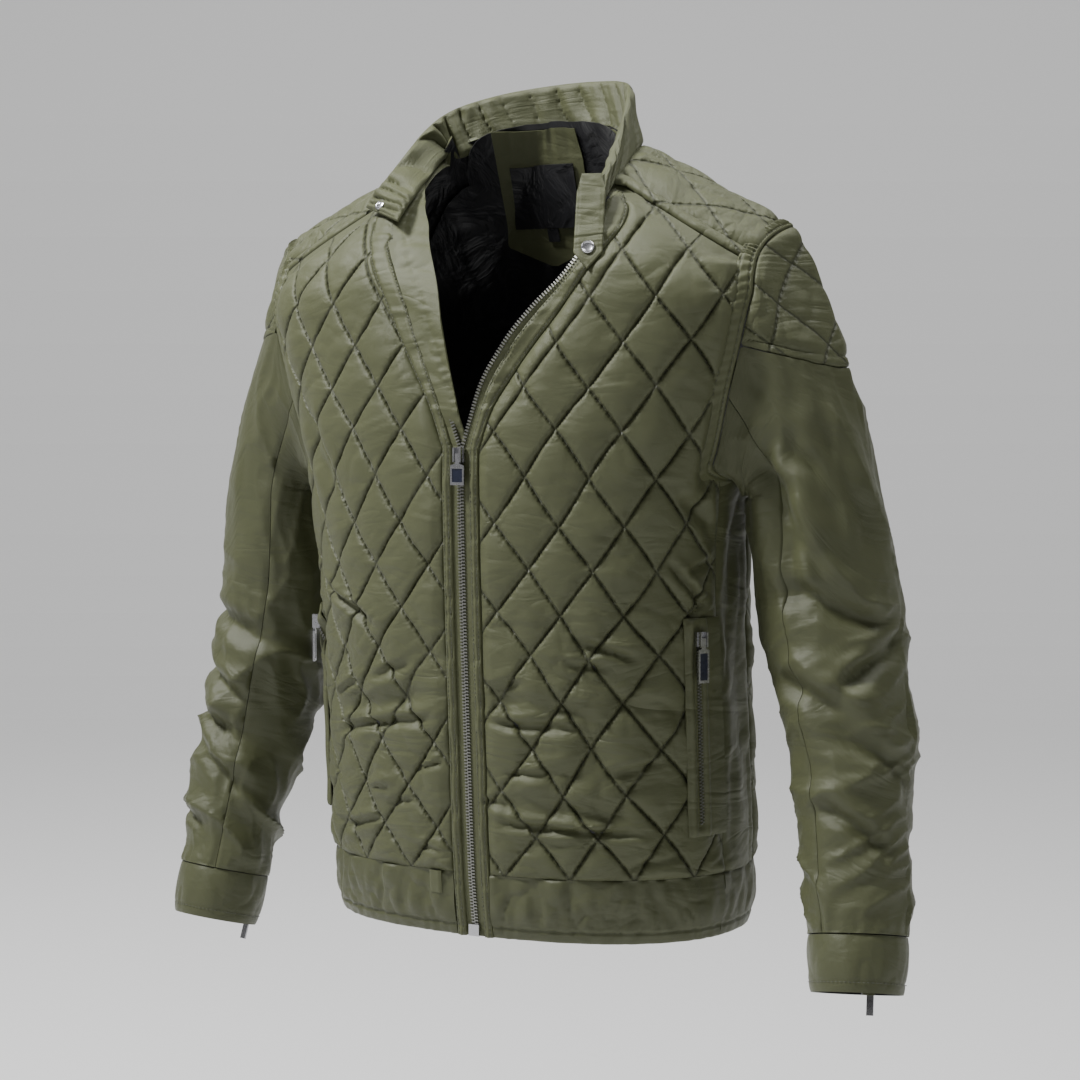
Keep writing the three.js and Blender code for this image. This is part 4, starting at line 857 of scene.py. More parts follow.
# ## Back
# The back is one padded piece quilted in the same diamonds, from the waistband up to the neck.
# Its armholes and its seams to the yokes are cut to the fronts' heights.
ARMHOLE_BACK = {
    "height": [-251, -235, -210, -180, -150, -115],
    "x": [176, 181, 190, 199, 206, 213],
}
NECKLINE_BACK = {"height": [-13, 0, 12, 22, 28, 30], "inset": [3, 5, 11, 25, 50, 78]}
BACK_FOLDS = [
    (60, -330, -12, 190, 12, -4, 5),
    (-75, -380, 14, 180, 12, -4, 5),
    (-20, -470, 4, 210, 10, -3.6, 4),
    (95, -500, -6, 140, 9, -3.4, 3),
    (-110, -240, 52, 130, 11, -3.4, 4),
    (120, -235, -56, 130, 11, -3.4, 4),
]


def back_row(u, height):
    points = np.zeros((len(u), 3))
    for side, mask in ((1, u >= 0), (-1, u < 0)):
        points[mask] = body_row(side, half_round(side, height) - np.abs(u[mask]), height)
    return points


def back_reach(side, v):
    total = half_round(side, v)
    seam = total - side_seam_back(side, v)
    if v < UNDERARM:
        return seam - SEAM_GAP
    x = float(read(ARMHOLE_BACK, "height", "x", v))
    if v > YOKE_NECK:
        x = NECK_HALF[side] - float(read(NECKLINE_BACK, "height", "inset", v))
    elif v > YOKE_CORNER:
        x = yoke_x(NECK_HALF[side] + 1, ARMHOLE_BACK["x"][-1], v) - yoke_gap(v)
    reach = total - along_at_x(side, x, v, True) - SEAM_GAP
    return blend(seam, reach, float(smooth((v - UNDERARM) / 14)))


back_form = Form(back_row, np.arange(-344, 345, 4.0), body_heights, -1)
back_left, back_right = lambda v: -back_reach(-1, v), lambda v: back_reach(1, v)
back_inside = edge_distance(back_left, back_right, HEM_SEAM, NECK_BACK)


def back_puff(u, v):
    a, b = back_inside(u, v)
    edge = np.minimum(np.minimum(a, b), np.minimum(v - HEM_SEAM, (NECK_BACK - v) * 0.8))
    near = eased(edge / 8)
    loose = 0.5 + 0.5 * smooth((-320 - v) / 120)
    full = cushion(u, v - HEM_SEAM)
    padding = PUFF * full * (1 + 0.22 * rough(u, v, 30, 36, 8))
    return (padding + 1.5 * loose * crumple(u, v, 7) * (0.35 + 0.65 * full)) * near


def back_sag(u, v):
    return folds(BACK_FOLDS, u, v) * smooth((v - HEM_SEAM) / 22)


back = cloth(
    "back_panel", back_form, spaced(HEM_SEAM + SEAM_GAP, NECK_BACK, QUILT_ROW), back_left,
    back_right,
    QUILT_MARK, (quilted_shell, lining_satin), back_puff, back_sag, outward=-1,
    shift=lambda u, v: (
        2.2 * rough(u, v, 70, 90, 10) * well_in(back_inside, u, v),
        2.2 * rough(u, v, 80, 60, 12) * well_in(back_inside, u, v)
        * smooth((NECK_BACK - v) / 40) * smooth((v - HEM_SEAM) / 40),
    ),
)
sew_on(back, ["back"])

# ## Shoulder yokes
# A quilted yoke lies over each shoulder, between front, back, neck and armhole. Its seam
# allowances are turned under it and topstitched twice, which leaves a raised strip round it.
STRIP = 7.5
YOKE_TURN_MM = 75


def yoke_point(side, x, turn):
    on_back = turn > 0
    crest = np.where(on_back, ridge(side, x, True), ridge(side, x, False))
    height = crest - shoulder_round(x) * (1 - np.cos(turn))
    toward = np.where(on_back, body_at("back", height), body_at("front", height))
    middle = body_at("middle", height)
    width = np.maximum(1 - (x / body_at("half_width", height)) ** SQUARENESS, 0) ** (1 / SQUARENESS)
    y = middle + (toward - middle) * width * depth_at_turn(turn)
    return np.stack([side * x, y, height], axis=-1)


def yoke_turn(side, x, neck_x, corner_x, neck, corner):
    share = np.clip((x - neck_x) / (corner_x - neck_x), 0, 1)
    seam = blend(neck, corner, share)
    return np.arccos(np.clip(1 - (ridge(side, x, False) - seam) / shoulder_round(x), -1, 1))


def raised_strip(distance, width=STRIP, height=1.5):
    """A topstitched edge: a flat raised strip with a groove along its inner side."""
    lifted = height * smooth(distance / 1.0) * smooth((width - distance) / 0.9 + 0.5)
    groove = 0.7 * bell((distance - width - 0.7) / 0.9)
    return lifted - groove


def yoke_limits(side, x):
    front_turn = yoke_turn(side, x, NECK_HALF[side] + 8, ARMHOLE_FRONT["x"][-1], FRONT_NECK,
                           FRONT_CORNER)
    back_turn = yoke_turn(side, x, NECK_HALF[side] + 1, ARMHOLE_BACK["x"][-1], YOKE_NECK,
                          YOKE_CORNER)
    return front_turn, back_turn


def yoke_row(side):
    def row(u, v):
        u = np.asarray(u, float)
        front_turn, back_turn = yoke_limits(side, v)
        share = u / YOKE_TURN_MM
        turn = share * np.where(u < 0, front_turn, back_turn) * 0.985
        pull = min(max((v - SHOULDER_POINT + 40) / 40, 0), 1) ** 2
        low = np.where(turn < 0, ARMHOLE_FRONT["x"][-1], ARMHOLE_BACK["x"][-1])
        height = RIDGE_POINT - SHOULDER_ROUND["point"] * (1 - np.cos(turn))
        corner = np.where(turn < 0, FRONT_CORNER, YOKE_CORNER)
        up = np.clip((height - corner) / (RIDGE_POINT - corner), 0, 1)
        edge = blend(low, SHOULDER_POINT, up)
        x = blend(v, np.minimum(v, edge - 0.4), pull)
        return yoke_point(side, x, np.where(np.abs(turn) < 1e-4, 1e-4, turn))
    return row


for side in (1, -1):
    start_x = NECK_HALF[side] + 2.5
    outs = np.arange(start_x - 16, SHOULDER_POINT + 8, 4)
    form = Form(yoke_row(side), np.arange(-90, 91, 3.0), outs, -side)

    def puff(u, v, start_x=start_x):
        seam = (YOKE_TURN_MM - np.abs(u)) * 0.9
        sleeve = SHOULDER_POINT - v
        neck = v - start_x
        edge = np.minimum(np.minimum(seam, sleeve) - STRIP - 1.5, neck)
        near = eased(edge / 8)
        soft = 3.6 * cushion(u, v - start_x) * (1 + 0.2 * rough(u, v, 30, 30, 5))
        soft = soft + 1.4 * creased(v, u, 40, 13, 9, 30)
        ladder = 0.35 * np.sin(u * 1.4 + 2 * rough(u, v, 9, 9, 3)) * (sleeve < STRIP)
        return soft * near + raised_strip(np.minimum(seam, sleeve)) + ladder

    rows = np.arange(start_x, SHOULDER_POINT + 0.1, (SHOULDER_POINT - start_x) / 60)
    piece = cloth("yoke_panel_" + SIDE[side], form, rows, lambda v: -YOKE_TURN_MM,
                  lambda v: YOKE_TURN_MM, 2.2, (quilted_shell, lining_satin), puff,
                  outward=-side, origin=start_x)
    sew_on(piece, ["yoke_" + SIDE[side]])
    under = cloth("yoke_lining_" + SIDE[side], form, np.arange(start_x - 13, start_x + 76, 3),
                  lambda v: -84.0, lambda v: 84.0, 4, (shell, lining_satin),
                  sag=lambda u, v: -4.2 - 0.8 * rough(u, v, 20, 30, 1),
                  wall=0.6, coarse=1, outward=-side)
    sew_on(under, [])

# ## Sleeves
# Each sleeve has a quilted patch over its head, and below that a top and an under piece of plain
# shell, which hang in long folds from the patch and crumple across at the elbow and forearm.
ARM = {
    "station": [0.3, 0.45, 0.6, 0.75, 0.9, 1],
    "x": [245, 254, 268, 279, 288, 293],
    "y": [18, 25, 20, 8, -8, -22],
    "z": [-262, -345, -425, -500, -576, -634],
    "across": [46, 50, 48, 43, 38, 34],
    "deep": [50, 52, 51, 45, 39.5, 36],
}
HEAD_STATION, CUFF_STATION, SLEEVE_LENGTH = 0.3, 0.93, 600
PATCH_LEVEL, PATCH_OUTSIDE = {1: -150, -1: -132}, {1: -18, -1: -12}
PATCH_END, ARMHOLE_LIFT = 2.5, 3.6
SEAM_FRONT, SEAM_BACK = 112, 236
DEGREE = 0.83


def curve_through(points, closed, per_span=40):
    """A centripetal curve through points, as many close points."""
    points = np.array(points, float)
    count = len(points)
    out = []
    for i in range(count if closed else count - 1):
        if closed:
            p0, p1, p2, p3 = (points[(i + k) % count] for k in (-1, 0, 1, 2))
        else:
            p1, p2 = points[i], points[i + 1]
            p0 = points[i - 1] if i else 2 * p1 - p2
            p3 = points[i + 2] if i + 2 < count else 2 * p2 - p1
        pairs = ((p0, p1), (p1, p2), (p2, p3))
        a, b, c = (max(float(np.sum((q - p) ** 2)) ** 0.25, 1e-4) for p, q in pairs)
        m1 = ((p1 - p0) / a - (p2 - p0) / (a + b) + (p2 - p1) / b) * b
        m2 = ((p2 - p1) / b - (p3 - p1) / (b + c) + (p3 - p2) / c) * b
        t = np.linspace(0, 1, per_span, endpoint=False)[:, None]
        square, cube = 3 * (p2 - p1) - 2 * m1 - m2, 2 * (p1 - p2) + m1 + m2
        out.append(p1 + m1 * t + square * t**2 + cube * t**3)
    out.append(points[:1] if closed else points[-1:])
    return np.concatenate(out)


def armhole_points(side, inset=0.0):
    steps = 14
    points = []
    for low, corner_x, sign in ((ARMHOLE_FRONT, ARMHOLE_FRONT["x"][-1], -1),
                                (ARMHOLE_BACK, ARMHOLE_BACK["x"][-1], 1)):
        limit = yoke_limits(side, float(corner_x))[0 if sign < 0 else 1]
        part = []
        for i in range(0 if sign < 0 else 1, steps):
            x = blend(SHOULDER_POINT, corner_x, float(smooth(i / steps)))
            turn = sign * max(limit * i / steps, 1e-4)
            part.append(yoke_point(side, np.array(x - inset), np.array(turn)))
        for i in range(steps + 1):
            v = blend(FRONT_CORNER if sign < 0 else YOKE_CORNER, UNDERARM + 8, i / steps)
            x = float(read(low, "height", "x", v)) - inset
            level = v - inset * i / steps
            part.append(body_row(side, [along_at_x(side, x, level, sign > 0)], level)[0])
        if sign < 0:
            points += part
            low_v = UNDERARM - inset
            under = (side_seam_front(side, low_v) + side_seam_back(side, low_v)) / 2
            points.append(body_row(side, [under], low_v)[0])
        else:
            points += part[::-1]
    return curve_through(points, True)


armholes = {side: armhole_points(side) for side in (1, -1)}


def armhole_at(side, angle):
    line = armholes[side]
    marks = np.concatenate([[0], np.cumsum(np.linalg.norm(np.diff(line, axis=0), axis=1))])
    share = np.mod(angle, 360) / 360 * marks[-1]
    point = np.stack([np.interp(share, marks, line[:, k]) for k in range(3)], axis=-1)
    return point + np.array([side * ARMHOLE_LIFT, 0, 0])


def unit_of(v):
    return v / np.maximum(np.linalg.norm(v, axis=-1, keepdims=True), 1e-9)


def arm_centre(side, station):
    x, y, z = (read(ARM, "station", k, station) for k in ("x", "y", "z"))
    return np.stack([side * x, y, z], axis=-1)


def arm_ring(side, station, angle):
    low, high = np.clip(station - 0.02, HEAD_STATION, 1), np.clip(station + 0.02, HEAD_STATION, 1)
    down = unit_of(arm_centre(side, high) - arm_centre(side, low))
    ahead = unit_of(np.array([0, -1, 0]) + down * down[..., 1:2])
    out = unit_of(np.cross(ahead, down))
    out = out * np.sign(out[..., :1] * side)
    turn = np.radians(angle)[..., None]
    across = read(ARM, "station", "across", station)[..., None]
    deep = read(ARM, "station", "deep", station)[..., None]
    return arm_centre(side, station) + out * across * np.cos(turn) + ahead * deep * np.sin(turn)


def sleeve_point(side, angle, station):
    angle, station = np.broadcast_arrays(np.asarray(angle, float), np.asarray(station, float))
    head = np.full_like(station, HEAD_STATION)
    start, end = armhole_at(side, angle), arm_ring(side, head, angle)
    up = unit_of(end - arm_ring(side, head + 0.04, angle))
    top = ((1 + np.cos(np.radians(angle))) / 2)[..., None]
    reach = np.linalg.norm(start - end, axis=-1, keepdims=True)
    leave = [side * blend(0.5, 0.36, top), 0.24 + 0 * top, -0.85 + 0 * top]
    leave = unit_of(np.concatenate(leave, axis=-1))
    settle = np.concatenate([side * -5 * top, 5 + 0 * top, 0 * top], axis=-1)
    b = start + leave * reach * blend(0.2, 0.33, top)
    c = end + up * reach * 0.4 + settle
    t = np.clip(station / HEAD_STATION, 0, 1)[..., None]
    bent = start * (1 - t) ** 3 + 3 * b * t * (1 - t) ** 2 + 3 * c * t**2 * (1 - t) + end * t**3
    below = arm_ring(side, np.maximum(station, HEAD_STATION), angle)
    return np.where(station[..., None] < HEAD_STATION, bent, below)


def patch_station(side, angle):
    """Station of the seam below the quilted patch, which runs nearly level round the arm."""
    angle = np.asarray(angle, float)
    level = PATCH_LEVEL[side] + PATCH_OUTSIDE[side] * np.cos(np.radians(angle))
    low, high = np.zeros_like(angle), np.full_like(angle, HEAD_STATION)
    for _ in range(24):
        middle = (low + high) / 2
        above = sleeve_point(side, angle, middle)[..., 2] > level
        low, high = np.where(above, middle, low), np.where(above, high, middle)
    return low


# Each fold: place round the arm and down it, turn, length, width, depth, bow
SLEEVE_FOLDS = {
    1: [
        (40, 0.3, 74, 150, 9, -4.5, 3), (75, 0.46, 30, 120, 10, -7, 6),
        (30, 0.55, -32, 110, 9, -6, 5),
        (95, 0.6, 42, 130, 9, -6.5, 5), (50, 0.68, 34, 120, 8.5, -6, 5),
        (70, 0.79, 36, 100, 8, -5, 4),
        (112, 0.3, 84, 190, 11, -8, 3), (72, 0.26, 70, 130, 9, -5, 3),
        (92, 0.36, 66, 110, 8, -4.5, 3),
        (215, 0.5, -25, 120, 10, -6, 4), (260, 0.66, 20, 110, 9, -5.5, 4),
        (300, 0.4, 60, 130, 10, -5, 4),
    ],
    -1: [
        (330, 0.38, 70, 160, 9, -4.5, 3), (60, 0.53, -14, 130, 9, -7, 6),
        (50, 0.62, -22, 130, 9, -7, 5),
        (45, 0.69, -18, 130, 8.5, -6.5, 5), (85, 0.77, -30, 110, 8.5, -6, 4),
        (35, 0.86, -12, 100, 7, -4.5, 3),
        (215, 0.5, 25, 120, 10, -6, 4), (255, 0.68, -20, 120, 9, -5.5, 4),
    ],
}


def sleeve_sag(side):
    table = [(a * DEGREE, -s * SLEEVE_LENGTH, *rest) for a, s, *rest in SLEEVE_FOLDS[side]]

    def sag(angle, station):
        u = np.mod(angle, 360) * DEGREE
        v = -station * SLEEVE_LENGTH
        total = np.zeros(np.shape(u))
        for wrap in (-360, 0, 360):
            total = total + folds(table, u + wrap * DEGREE, v)
        elbow = smooth((station - 0.4) / 0.16)
        slant = 24 * side
        crumpled = -5.4 * creased(u, v, 100, 34, 2 + side, slant)
        crumpled = crumpled - 1.7 * creased(u, v, 46, 15, 6 + side, slant - 50)
        crumpled = crumpled - 0.45 * creased(u, v, 26, 8, 9 + side, slant * 0.3)
        long = -2.6 * creased(v, u, 110, 24, 13 + side, 10) - 0.9 * creased(v, u, 60, 11, 3, -8)
        toward = side > 0
        inner = bell((np.mod(angle, 360) - 160) / 40) * smooth((station - 0.08) / 0.1)
        total = total + crumpled * elbow + long * (1 - elbow)
        total = total + toward * inner * 9.5 * smooth((0.68 - station) / 0.22)
        return total * smooth((CUFF_STATION - station) / 0.035) * smooth(station / 0.1)
    return sag


SEAM_SHARE, PATCH_DROP, SLEEVE_RUN = 0.0008, 110, 470
for side in (1, -1):
    tables = np.arange(-180, 361, 3.0)
    patch_end = patch_station(side, tables)

    def end_of(a, tables=tables, patch_end=patch_end):
        a = np.asarray(a)
        return np.interp(np.where(a > 360, a - 360, a), tables, patch_end)

    def drop_at(a, side=side, end_of=end_of):
        at = np.array([a])
        gap = sleeve_point(side, at, 0.0) - sleeve_point(side, at, end_of(at))
        return float(np.linalg.norm(gap))

    reach = []
    for way in (-1, 1):
        angle = 0
        while drop_at(angle + way * 3) > PATCH_END and abs(angle) < 150:
            angle += way * 3
        reach.append(angle)

    patch_form = Form(
        lambda u, v, side=side, end_of=end_of: sleeve_point(
            side, u, blend(SEAM_SHARE, np.maximum(end_of(u) - SEAM_SHARE, SEAM_SHARE * 1.5),
                           v / PATCH_DROP)
        ),
        np.arange(reach[0] - 4, reach[1] + 5, 2.0), np.arange(0, PATCH_DROP + 0.1, 2.2), side,
    )

    ruler = np.arange(reach[0], reach[1] + 1, 2.0)
    tall = np.linalg.norm(sleeve_point(side, ruler, 0.0) - sleeve_point(side, ruler, end_of(ruler)),
                          axis=-1)

    def on_quilt(u, v, patch_form=patch_form, side=side):
        return u * 1.04 + 12 * side, -1.12 * patch_form(u, v)[..., 2]

    def puff(u, v, reach=reach, on_quilt=on_quilt, ruler=ruler, tall=tall):
        here = np.interp(u, ruler, tall)
        ends = np.minimum(u - reach[0], reach[1] - u)
        below = (1 - v / PATCH_DROP) * here
        edge = np.minimum(np.minimum(ends, v / PATCH_DROP * here), below - STRIP)
        near = eased(edge / 9)
        x, y = on_quilt(u, v)
        soft = 3.6 * cushion(x, y) * (1 + 0.2 * rough(x, y, 30, 30, 2))
        soft = soft + 1.3 * creased(y, x, 34, 12, 3, 20)
        return soft * near + raised_strip(below, height=1.3) * smooth(ends / 10)

    piece = cloth("shoulder_patch_panel_" + SIDE[side], patch_form, np.linspace(0, PATCH_DROP, 56),
                  lambda v, r=reach: r[0], lambda v, r=reach: r[1], 2.4,
                  (quilted_shell, lining_satin),
                  puff, outward=side, unit=(1.04, 1), pattern=on_quilt)
    sew_on(piece, ["shoulder_patch_" + SIDE[side]])

    station_at = lambda u, v, end_of=end_of: blend(
        end_of(u) + SEAM_SHARE, CUFF_STATION - SEAM_SHARE, np.asarray(v) / SLEEVE_RUN)
    form = Form(lambda u, v, side=side, at=station_at: sleeve_point(side, u, at(u, v)),
                np.arange(-132, 245, 3.0), np.arange(0, SLEEVE_RUN + 0.1, 4.7), side)
    sag_at = sleeve_sag(side)
    sag = lambda u, v, at=station_at, sag_at=sag_at: sag_at(u, at(u, v))
    for name, a, b in (("sleeve_top_", SEAM_BACK - 360, SEAM_FRONT),
                       ("sleeve_under_", SEAM_FRONT, SEAM_BACK)):
        def puff(u, v, a=a, b=b):
            seam_edge = np.clip(np.minimum(u - a, b - u) / 4, 0, 1)
            gather = np.exp(-v / 22) * 1.3 * rough(u, v, 6, 60, 4)
            gather = gather + np.exp(-(SLEEVE_RUN - v) / 16) * 1.2 * rough(u, v, 6, 50, 6)
            ends = smooth(v / 3) * smooth((SLEEVE_RUN - v) / 3)
            return (gather * ends + 0.9) * seam_edge**0.5

        piece = cloth(name.replace("sleeve", "sleeve_cloth") + SIDE[side], form,
                      np.linspace(0, SLEEVE_RUN, 190),
                      lambda v, a=a: a + 0.3, lambda v, b=b: b - 0.3, 3.0,
                      (sleeve_shell, lining_satin),
                      puff, sag, wall=1.9, outward=side, unit=(DEGREE, 1), coarse=2)
        sew_on(piece, [name + SIDE[side]])

# ## Armhole seams
# The armhole's seam allowance is turned to the body side and topstitched twice, which makes a
# raised strip 12 mm wide, puckered like a ladder, from the shoulder down to the underarm.
STRIP_ROUND, STRIP_WIDE, STRIP_STITCHES = 520, 12, (2.0, 9.0)
strip_forms = {}
for side in (1, -1):
    inner_line, outer_line = armhole_points(side, 9.0), armholes[side]

    def strip_row(u, v, side=side, a=inner_line, b=outer_line):
        steps = np.arange(len(a))
        share = np.mod(np.asarray(u, float), STRIP_ROUND) / STRIP_ROUND * (len(a) - 1)
        low, high = (np.stack([np.interp(share, steps, line[:, k]) for k in range(3)], axis=-1)
                     for line in (a, b))
        return blend(low, high + np.array([side * 3.0, 0, 0]), v / STRIP_WIDE)

    form = Form(strip_row, np.arange(-6, STRIP_ROUND + 7, 2.0), np.arange(-1, 14, 1.0), side)
    strip_forms[side] = form

    def puff(u, v):
        edge = np.minimum(v, STRIP_WIDE - v)
        patchy = np.clip(rough(u, v, 30, 50, 4) + 0.8, 0, 1)
        ladder = 0.8 * np.sin(1.05 * u + 4 * rough(u, v, 16, 30, 2)) * patchy
        stitch = sum(0.9 * bell((v - line) / 0.8) for line in STRIP_STITCHES)
        return (1.7 + ladder * (v > 1) * (v < 10)) * eased(edge / 1.8) - stitch

    piece = cloth("armhole_seam_" + SIDE[side], form, np.linspace(0, STRIP_WIDE, 22), lambda v: 0.0,
                  lambda v: STRIP_ROUND - 0.01, 1.6, (trim_shell,), puff, wall=0.9, coarse=2,
                  outward=side)
    sew_on(piece, [])

# ## Cuffs
# Each cuff is a plain doubled band, topstitched at its edge and gathered where the sleeve joins
# it. A short zip in its tape opens it at the back of the wrist.
CUFF_ZIP_ANGLE, CUFF_ZIP_HALF, CUFF_DEEP, CUFF_STITCH = 262, 9, 42, 7.5
cuff_forms = {}
for side in (1, -1):
    form = Form(lambda u, v, side=side: sleeve_point(
                    side, u, blend(CUFF_STATION + 0.0006, 1, v / CUFF_DEEP)),
                np.arange(-96, 280, 4.0), np.arange(0, CUFF_DEEP + 0.1, 2.1), side)
    cuff_forms[side] = form

    def puff(u, v):
        swell = 1.7 * np.sin(np.pi * np.clip(v / CUFF_DEEP, 0, 1)) ** 0.6
        gather = 0.9 * np.exp(-v / 12) * rough(u, v, 7, 40, 5) * smooth(v / 2)
        ruck = 1.2 * creased(v, u, 34, 17, 12, 14) * np.sin(np.pi * v / CUFF_DEEP)
        stitch = 0.6 * bell((CUFF_DEEP - v - CUFF_STITCH) / 0.9)
        return swell + gather + ruck - stitch

    piece = cloth("cuff_band_" + SIDE[side], form, np.linspace(0, CUFF_DEEP, 22),
                  lambda v: CUFF_ZIP_ANGLE - 360 + CUFF_ZIP_HALF,
                  lambda v: CUFF_ZIP_ANGLE - CUFF_ZIP_HALF,
                  2.6, (sleeve_shell, lining_satin), puff, outward=side, unit=(0.63, 1))
    sew_on(piece, ["cuff_" + SIDE[side]])

# ## Waistband
# A doubled band, gathered a little onto the body, closes the hem. It is topstitched 9 mm above
# its edge, and is cut in three: one length below each front and one round the back.
band_rows = np.linspace(HEM_EDGE, HEM_SEAM - SEAM_GAP, 42)
BAND_FOLDS = [(60, -575, 100, 46, 5, -1.6, 2), (86, -578, 74, 40, 5, -1.5, 2),
              (120, -580, 60, 44, 6, -1.6, 2),
              (38, -572, 92, 34, 4, -1.3, 1), (160, -582, 110, 40, 6, -1.4, 2)]


def band_puff(u, v):
    up = np.clip((v - HEM_EDGE) / (HEM_SEAM - HEM_EDGE), 0, 1)
    swell = 2.4 * np.sin(np.pi * up) ** 0.5
    gather = 2.6 * np.exp(-(HEM_SEAM - v) / 20) * rough(u, v, 7, 60, 9) * smooth((HEM_SEAM - v) / 2)
    ruck = 1.9 * creased(v, u, 40, 15, 14, 12) + 1.2 * creased(v, u, 26, 7, 5, -9)
    ruck = ruck * np.sin(np.pi * up)
    stitch = 1.3 * bell((v - HEM_EDGE - 9) / 1.1)
    ladder = 0.8 * rough(u, v, 4.4, 30, 5) * smooth((HEM_EDGE + 13 - v) / 3)
    return swell + gather + ruck - stitch + ladder + folds(BAND_FOLDS, np.abs(u), v)


for side in (1, -1):
    piece = cloth("waistband_cloth_" + SIDE[side], body[side], band_rows,
                  lambda v, s=side: placket_outer(s, v) + SEAM_GAP,
                  lambda v, s=side: side_seam_front(s, v) - SEAM_GAP,
                  2.4, (sleeve_shell, lining_satin), band_puff, outward=side)
    sew_on(piece, ["waistband_" + SIDE[side]])
piece = cloth("waistband_cloth_back", back_form, band_rows,
              lambda v: side_seam_front(-1, v) - half_round(-1, v) + SEAM_GAP,
              lambda v: half_round(1, v) - side_seam_front(1, v) - SEAM_GAP,
              2.4, (sleeve_shell, lining_satin), band_puff, outward=-1)
sew_on(piece, ["waistband_back"])

# ## Hem tab
# A small loop of shell, folded flat, is stitched on the waistband beside the right placket.
# It is sewn in along its top, at the waistband's seam.
TAB_ALONG, TAB_WIDTH, TAB_TALL = 10, 11, 17
tab_start = placket_outer(-1, HEM_SEAM) + TAB_ALONG


def hem_tab_puff(u, v):
    edge = np.minimum(u - tab_start, tab_start + TAB_WIDTH - u)
    return np.clip(edge / 2, 0, 1) + 0.4 * rough(u, v, 5, 6, 2)


piece = cloth("hem_tab_cloth", body[-1], np.linspace(HEM_SEAM - TAB_TALL, HEM_SEAM, 16),
              lambda v: tab_start, lambda v: tab_start + TAB_WIDTH, 1.0, (trim_shell,),
              hem_tab_puff, lambda u, v: 3.2 + 0 * u, wall=1.0, coarse=2, outward=-1)
sew_on(piece, [])

# ## Zip plackets, tapes and wind flap
# A folded strip of shell is topstitched along each zip tape. Behind the right tape a wind flap
# reaches across, and shows where the front falls open.
for side in (1, -1):
    inner = lambda v, s=side: placket_inner(s, v) + 0.1
    outer = lambda v, s=side: placket_outer(s, v) - 0.1

    def puff(u, v, side=side, inner=inner, outer=outer):
        levels = np.linspace(HEM_EDGE, PLACKET_TOP[side], 160)
        a = u - np.interp(v, levels, [inner(h) for h in levels])
        b = np.interp(v, levels, [outer(h) for h in levels]) - u
        edge = np.minimum(a, b)
        round_top = 2.7 * eased(edge / 2.2)
        stitch = 1.2 * bell((edge - 2.2) / 0.8)
        ladder = 0.8 * rough(u, v, 30, 4.2, 7) + 0.6 * rough(u, v, 26, 11, 2)
        return round_top - stitch + ladder * np.clip(edge / 2, 0, 1)

    piece = cloth("placket_strip_" + SIDE[side], body[side],
                  np.linspace(HEM_EDGE, PLACKET_TOP[side], 300), inner, outer, 0.8,
                  (trim_shell, lining_satin), puff, front_sag(side), outward=side)
    sew_on(piece, ["placket_" + SIDE[side]])

    edge = lambda v, s=side: zip_edge(s, v) + 0.1
    tape_out = lambda v, s=side: placket_inner(s, v) + 1.2
    tape = cloth("zip_tape_cloth_" + SIDE[side], body[side],
                 np.linspace(HEM_EDGE, ZIP_TOP[side], 120), edge,
                 lambda v, e=edge, t=tape_out: max(t(v), e(v) + 1), 2.0, (trim_shell,),
                 sag=lambda u, v, f=front_sag(side): f(u, v) - 0.6, wall=1.0, outward=side,
                 coarse=1)
    sew_on(tape, ["zip_tape_" + SIDE[side]])

FLAP_DEPTH, FLAP_REACH = 3.3, 26
flap_open = lambda v: float(smooth((v - ZIP_OPEN) / (ZIP_TOP[-1] - ZIP_OPEN)))
FLAP_TOP = -22


def flap_puff(u, v):
    seam = np.interp(v, body_heights, [zip_edge(-1, h) for h in body_heights]) - 7.5 - u
    ruched = 0.7 * bell(seam / 4.0) * np.sin(v * 0.95 + 3 * rough(u, v, 20, 14, 3))
    return 1.1 * creased(u, v, 30, 11, 3, 15) + ruched - 0.5 * bell(seam / 1.4) + 0.6


def flap_edge(v):
    return zip_edge(-1, v) - blend(6, FLAP_REACH, flap_open(v)) + 16 * float(smooth((v + 60) / 36))


piece = cloth("wind_flap_cloth", body[-1], np.linspace(ZIP_OPEN - 30, FLAP_TOP, 110),
              flap_edge, lambda v: zip_edge(-1, v) + TAPE_WIDTH, 1.6, (trim_shell, lining_satin),
              flap_puff,
              lambda u, v: front_sag(-1)(u, v) + blend(-FLAP_DEPTH, 1.9, smooth((v + 224) / 26)),
              wall=1.4, coarse=2, outward=-1)
sew_on(piece, ["wind_flap"])

# ## Stand collar
# The stand collar is a padded band, gathered round its whole length inside and out, that leans
# open at the front. Its right end is folded out flat and its left end carries a snap tab.
COLLAR = [
    # side, panel, height, out, and the top edge's x, y, z
    (-1, "front", -50, 14, -112, -62, -39), (-1, "front", -41, 13.8, -107, -59, -29),
    (-1, "front", -27, 10, -100, -48, -14), (-1, "yoke", 0, 0, -88, -12, 24),
    (-1, "back", 13, 0, -77, 10, 42), (-1, "back", 27, 0, -46, 31, 55),
    (1, "back", 30, 0, 3, 43, 62),
    (1, "back", 27, 0, 45, 38, 62), (1, "back", 13, 0, 73, 25, 58), (1, "yoke", 0, 0, 87, 4, 46),
    (1, "front", -28, 0, 93, -26, 9), (1, "front", -46, 0, 96, -49, -15),
    (1, "front", -64, 0, 94, -70, -34),
]
COLLAR_GAP, COLLAR_LENGTH, COLLAR_HEIGHT = -9.0, 430, 62


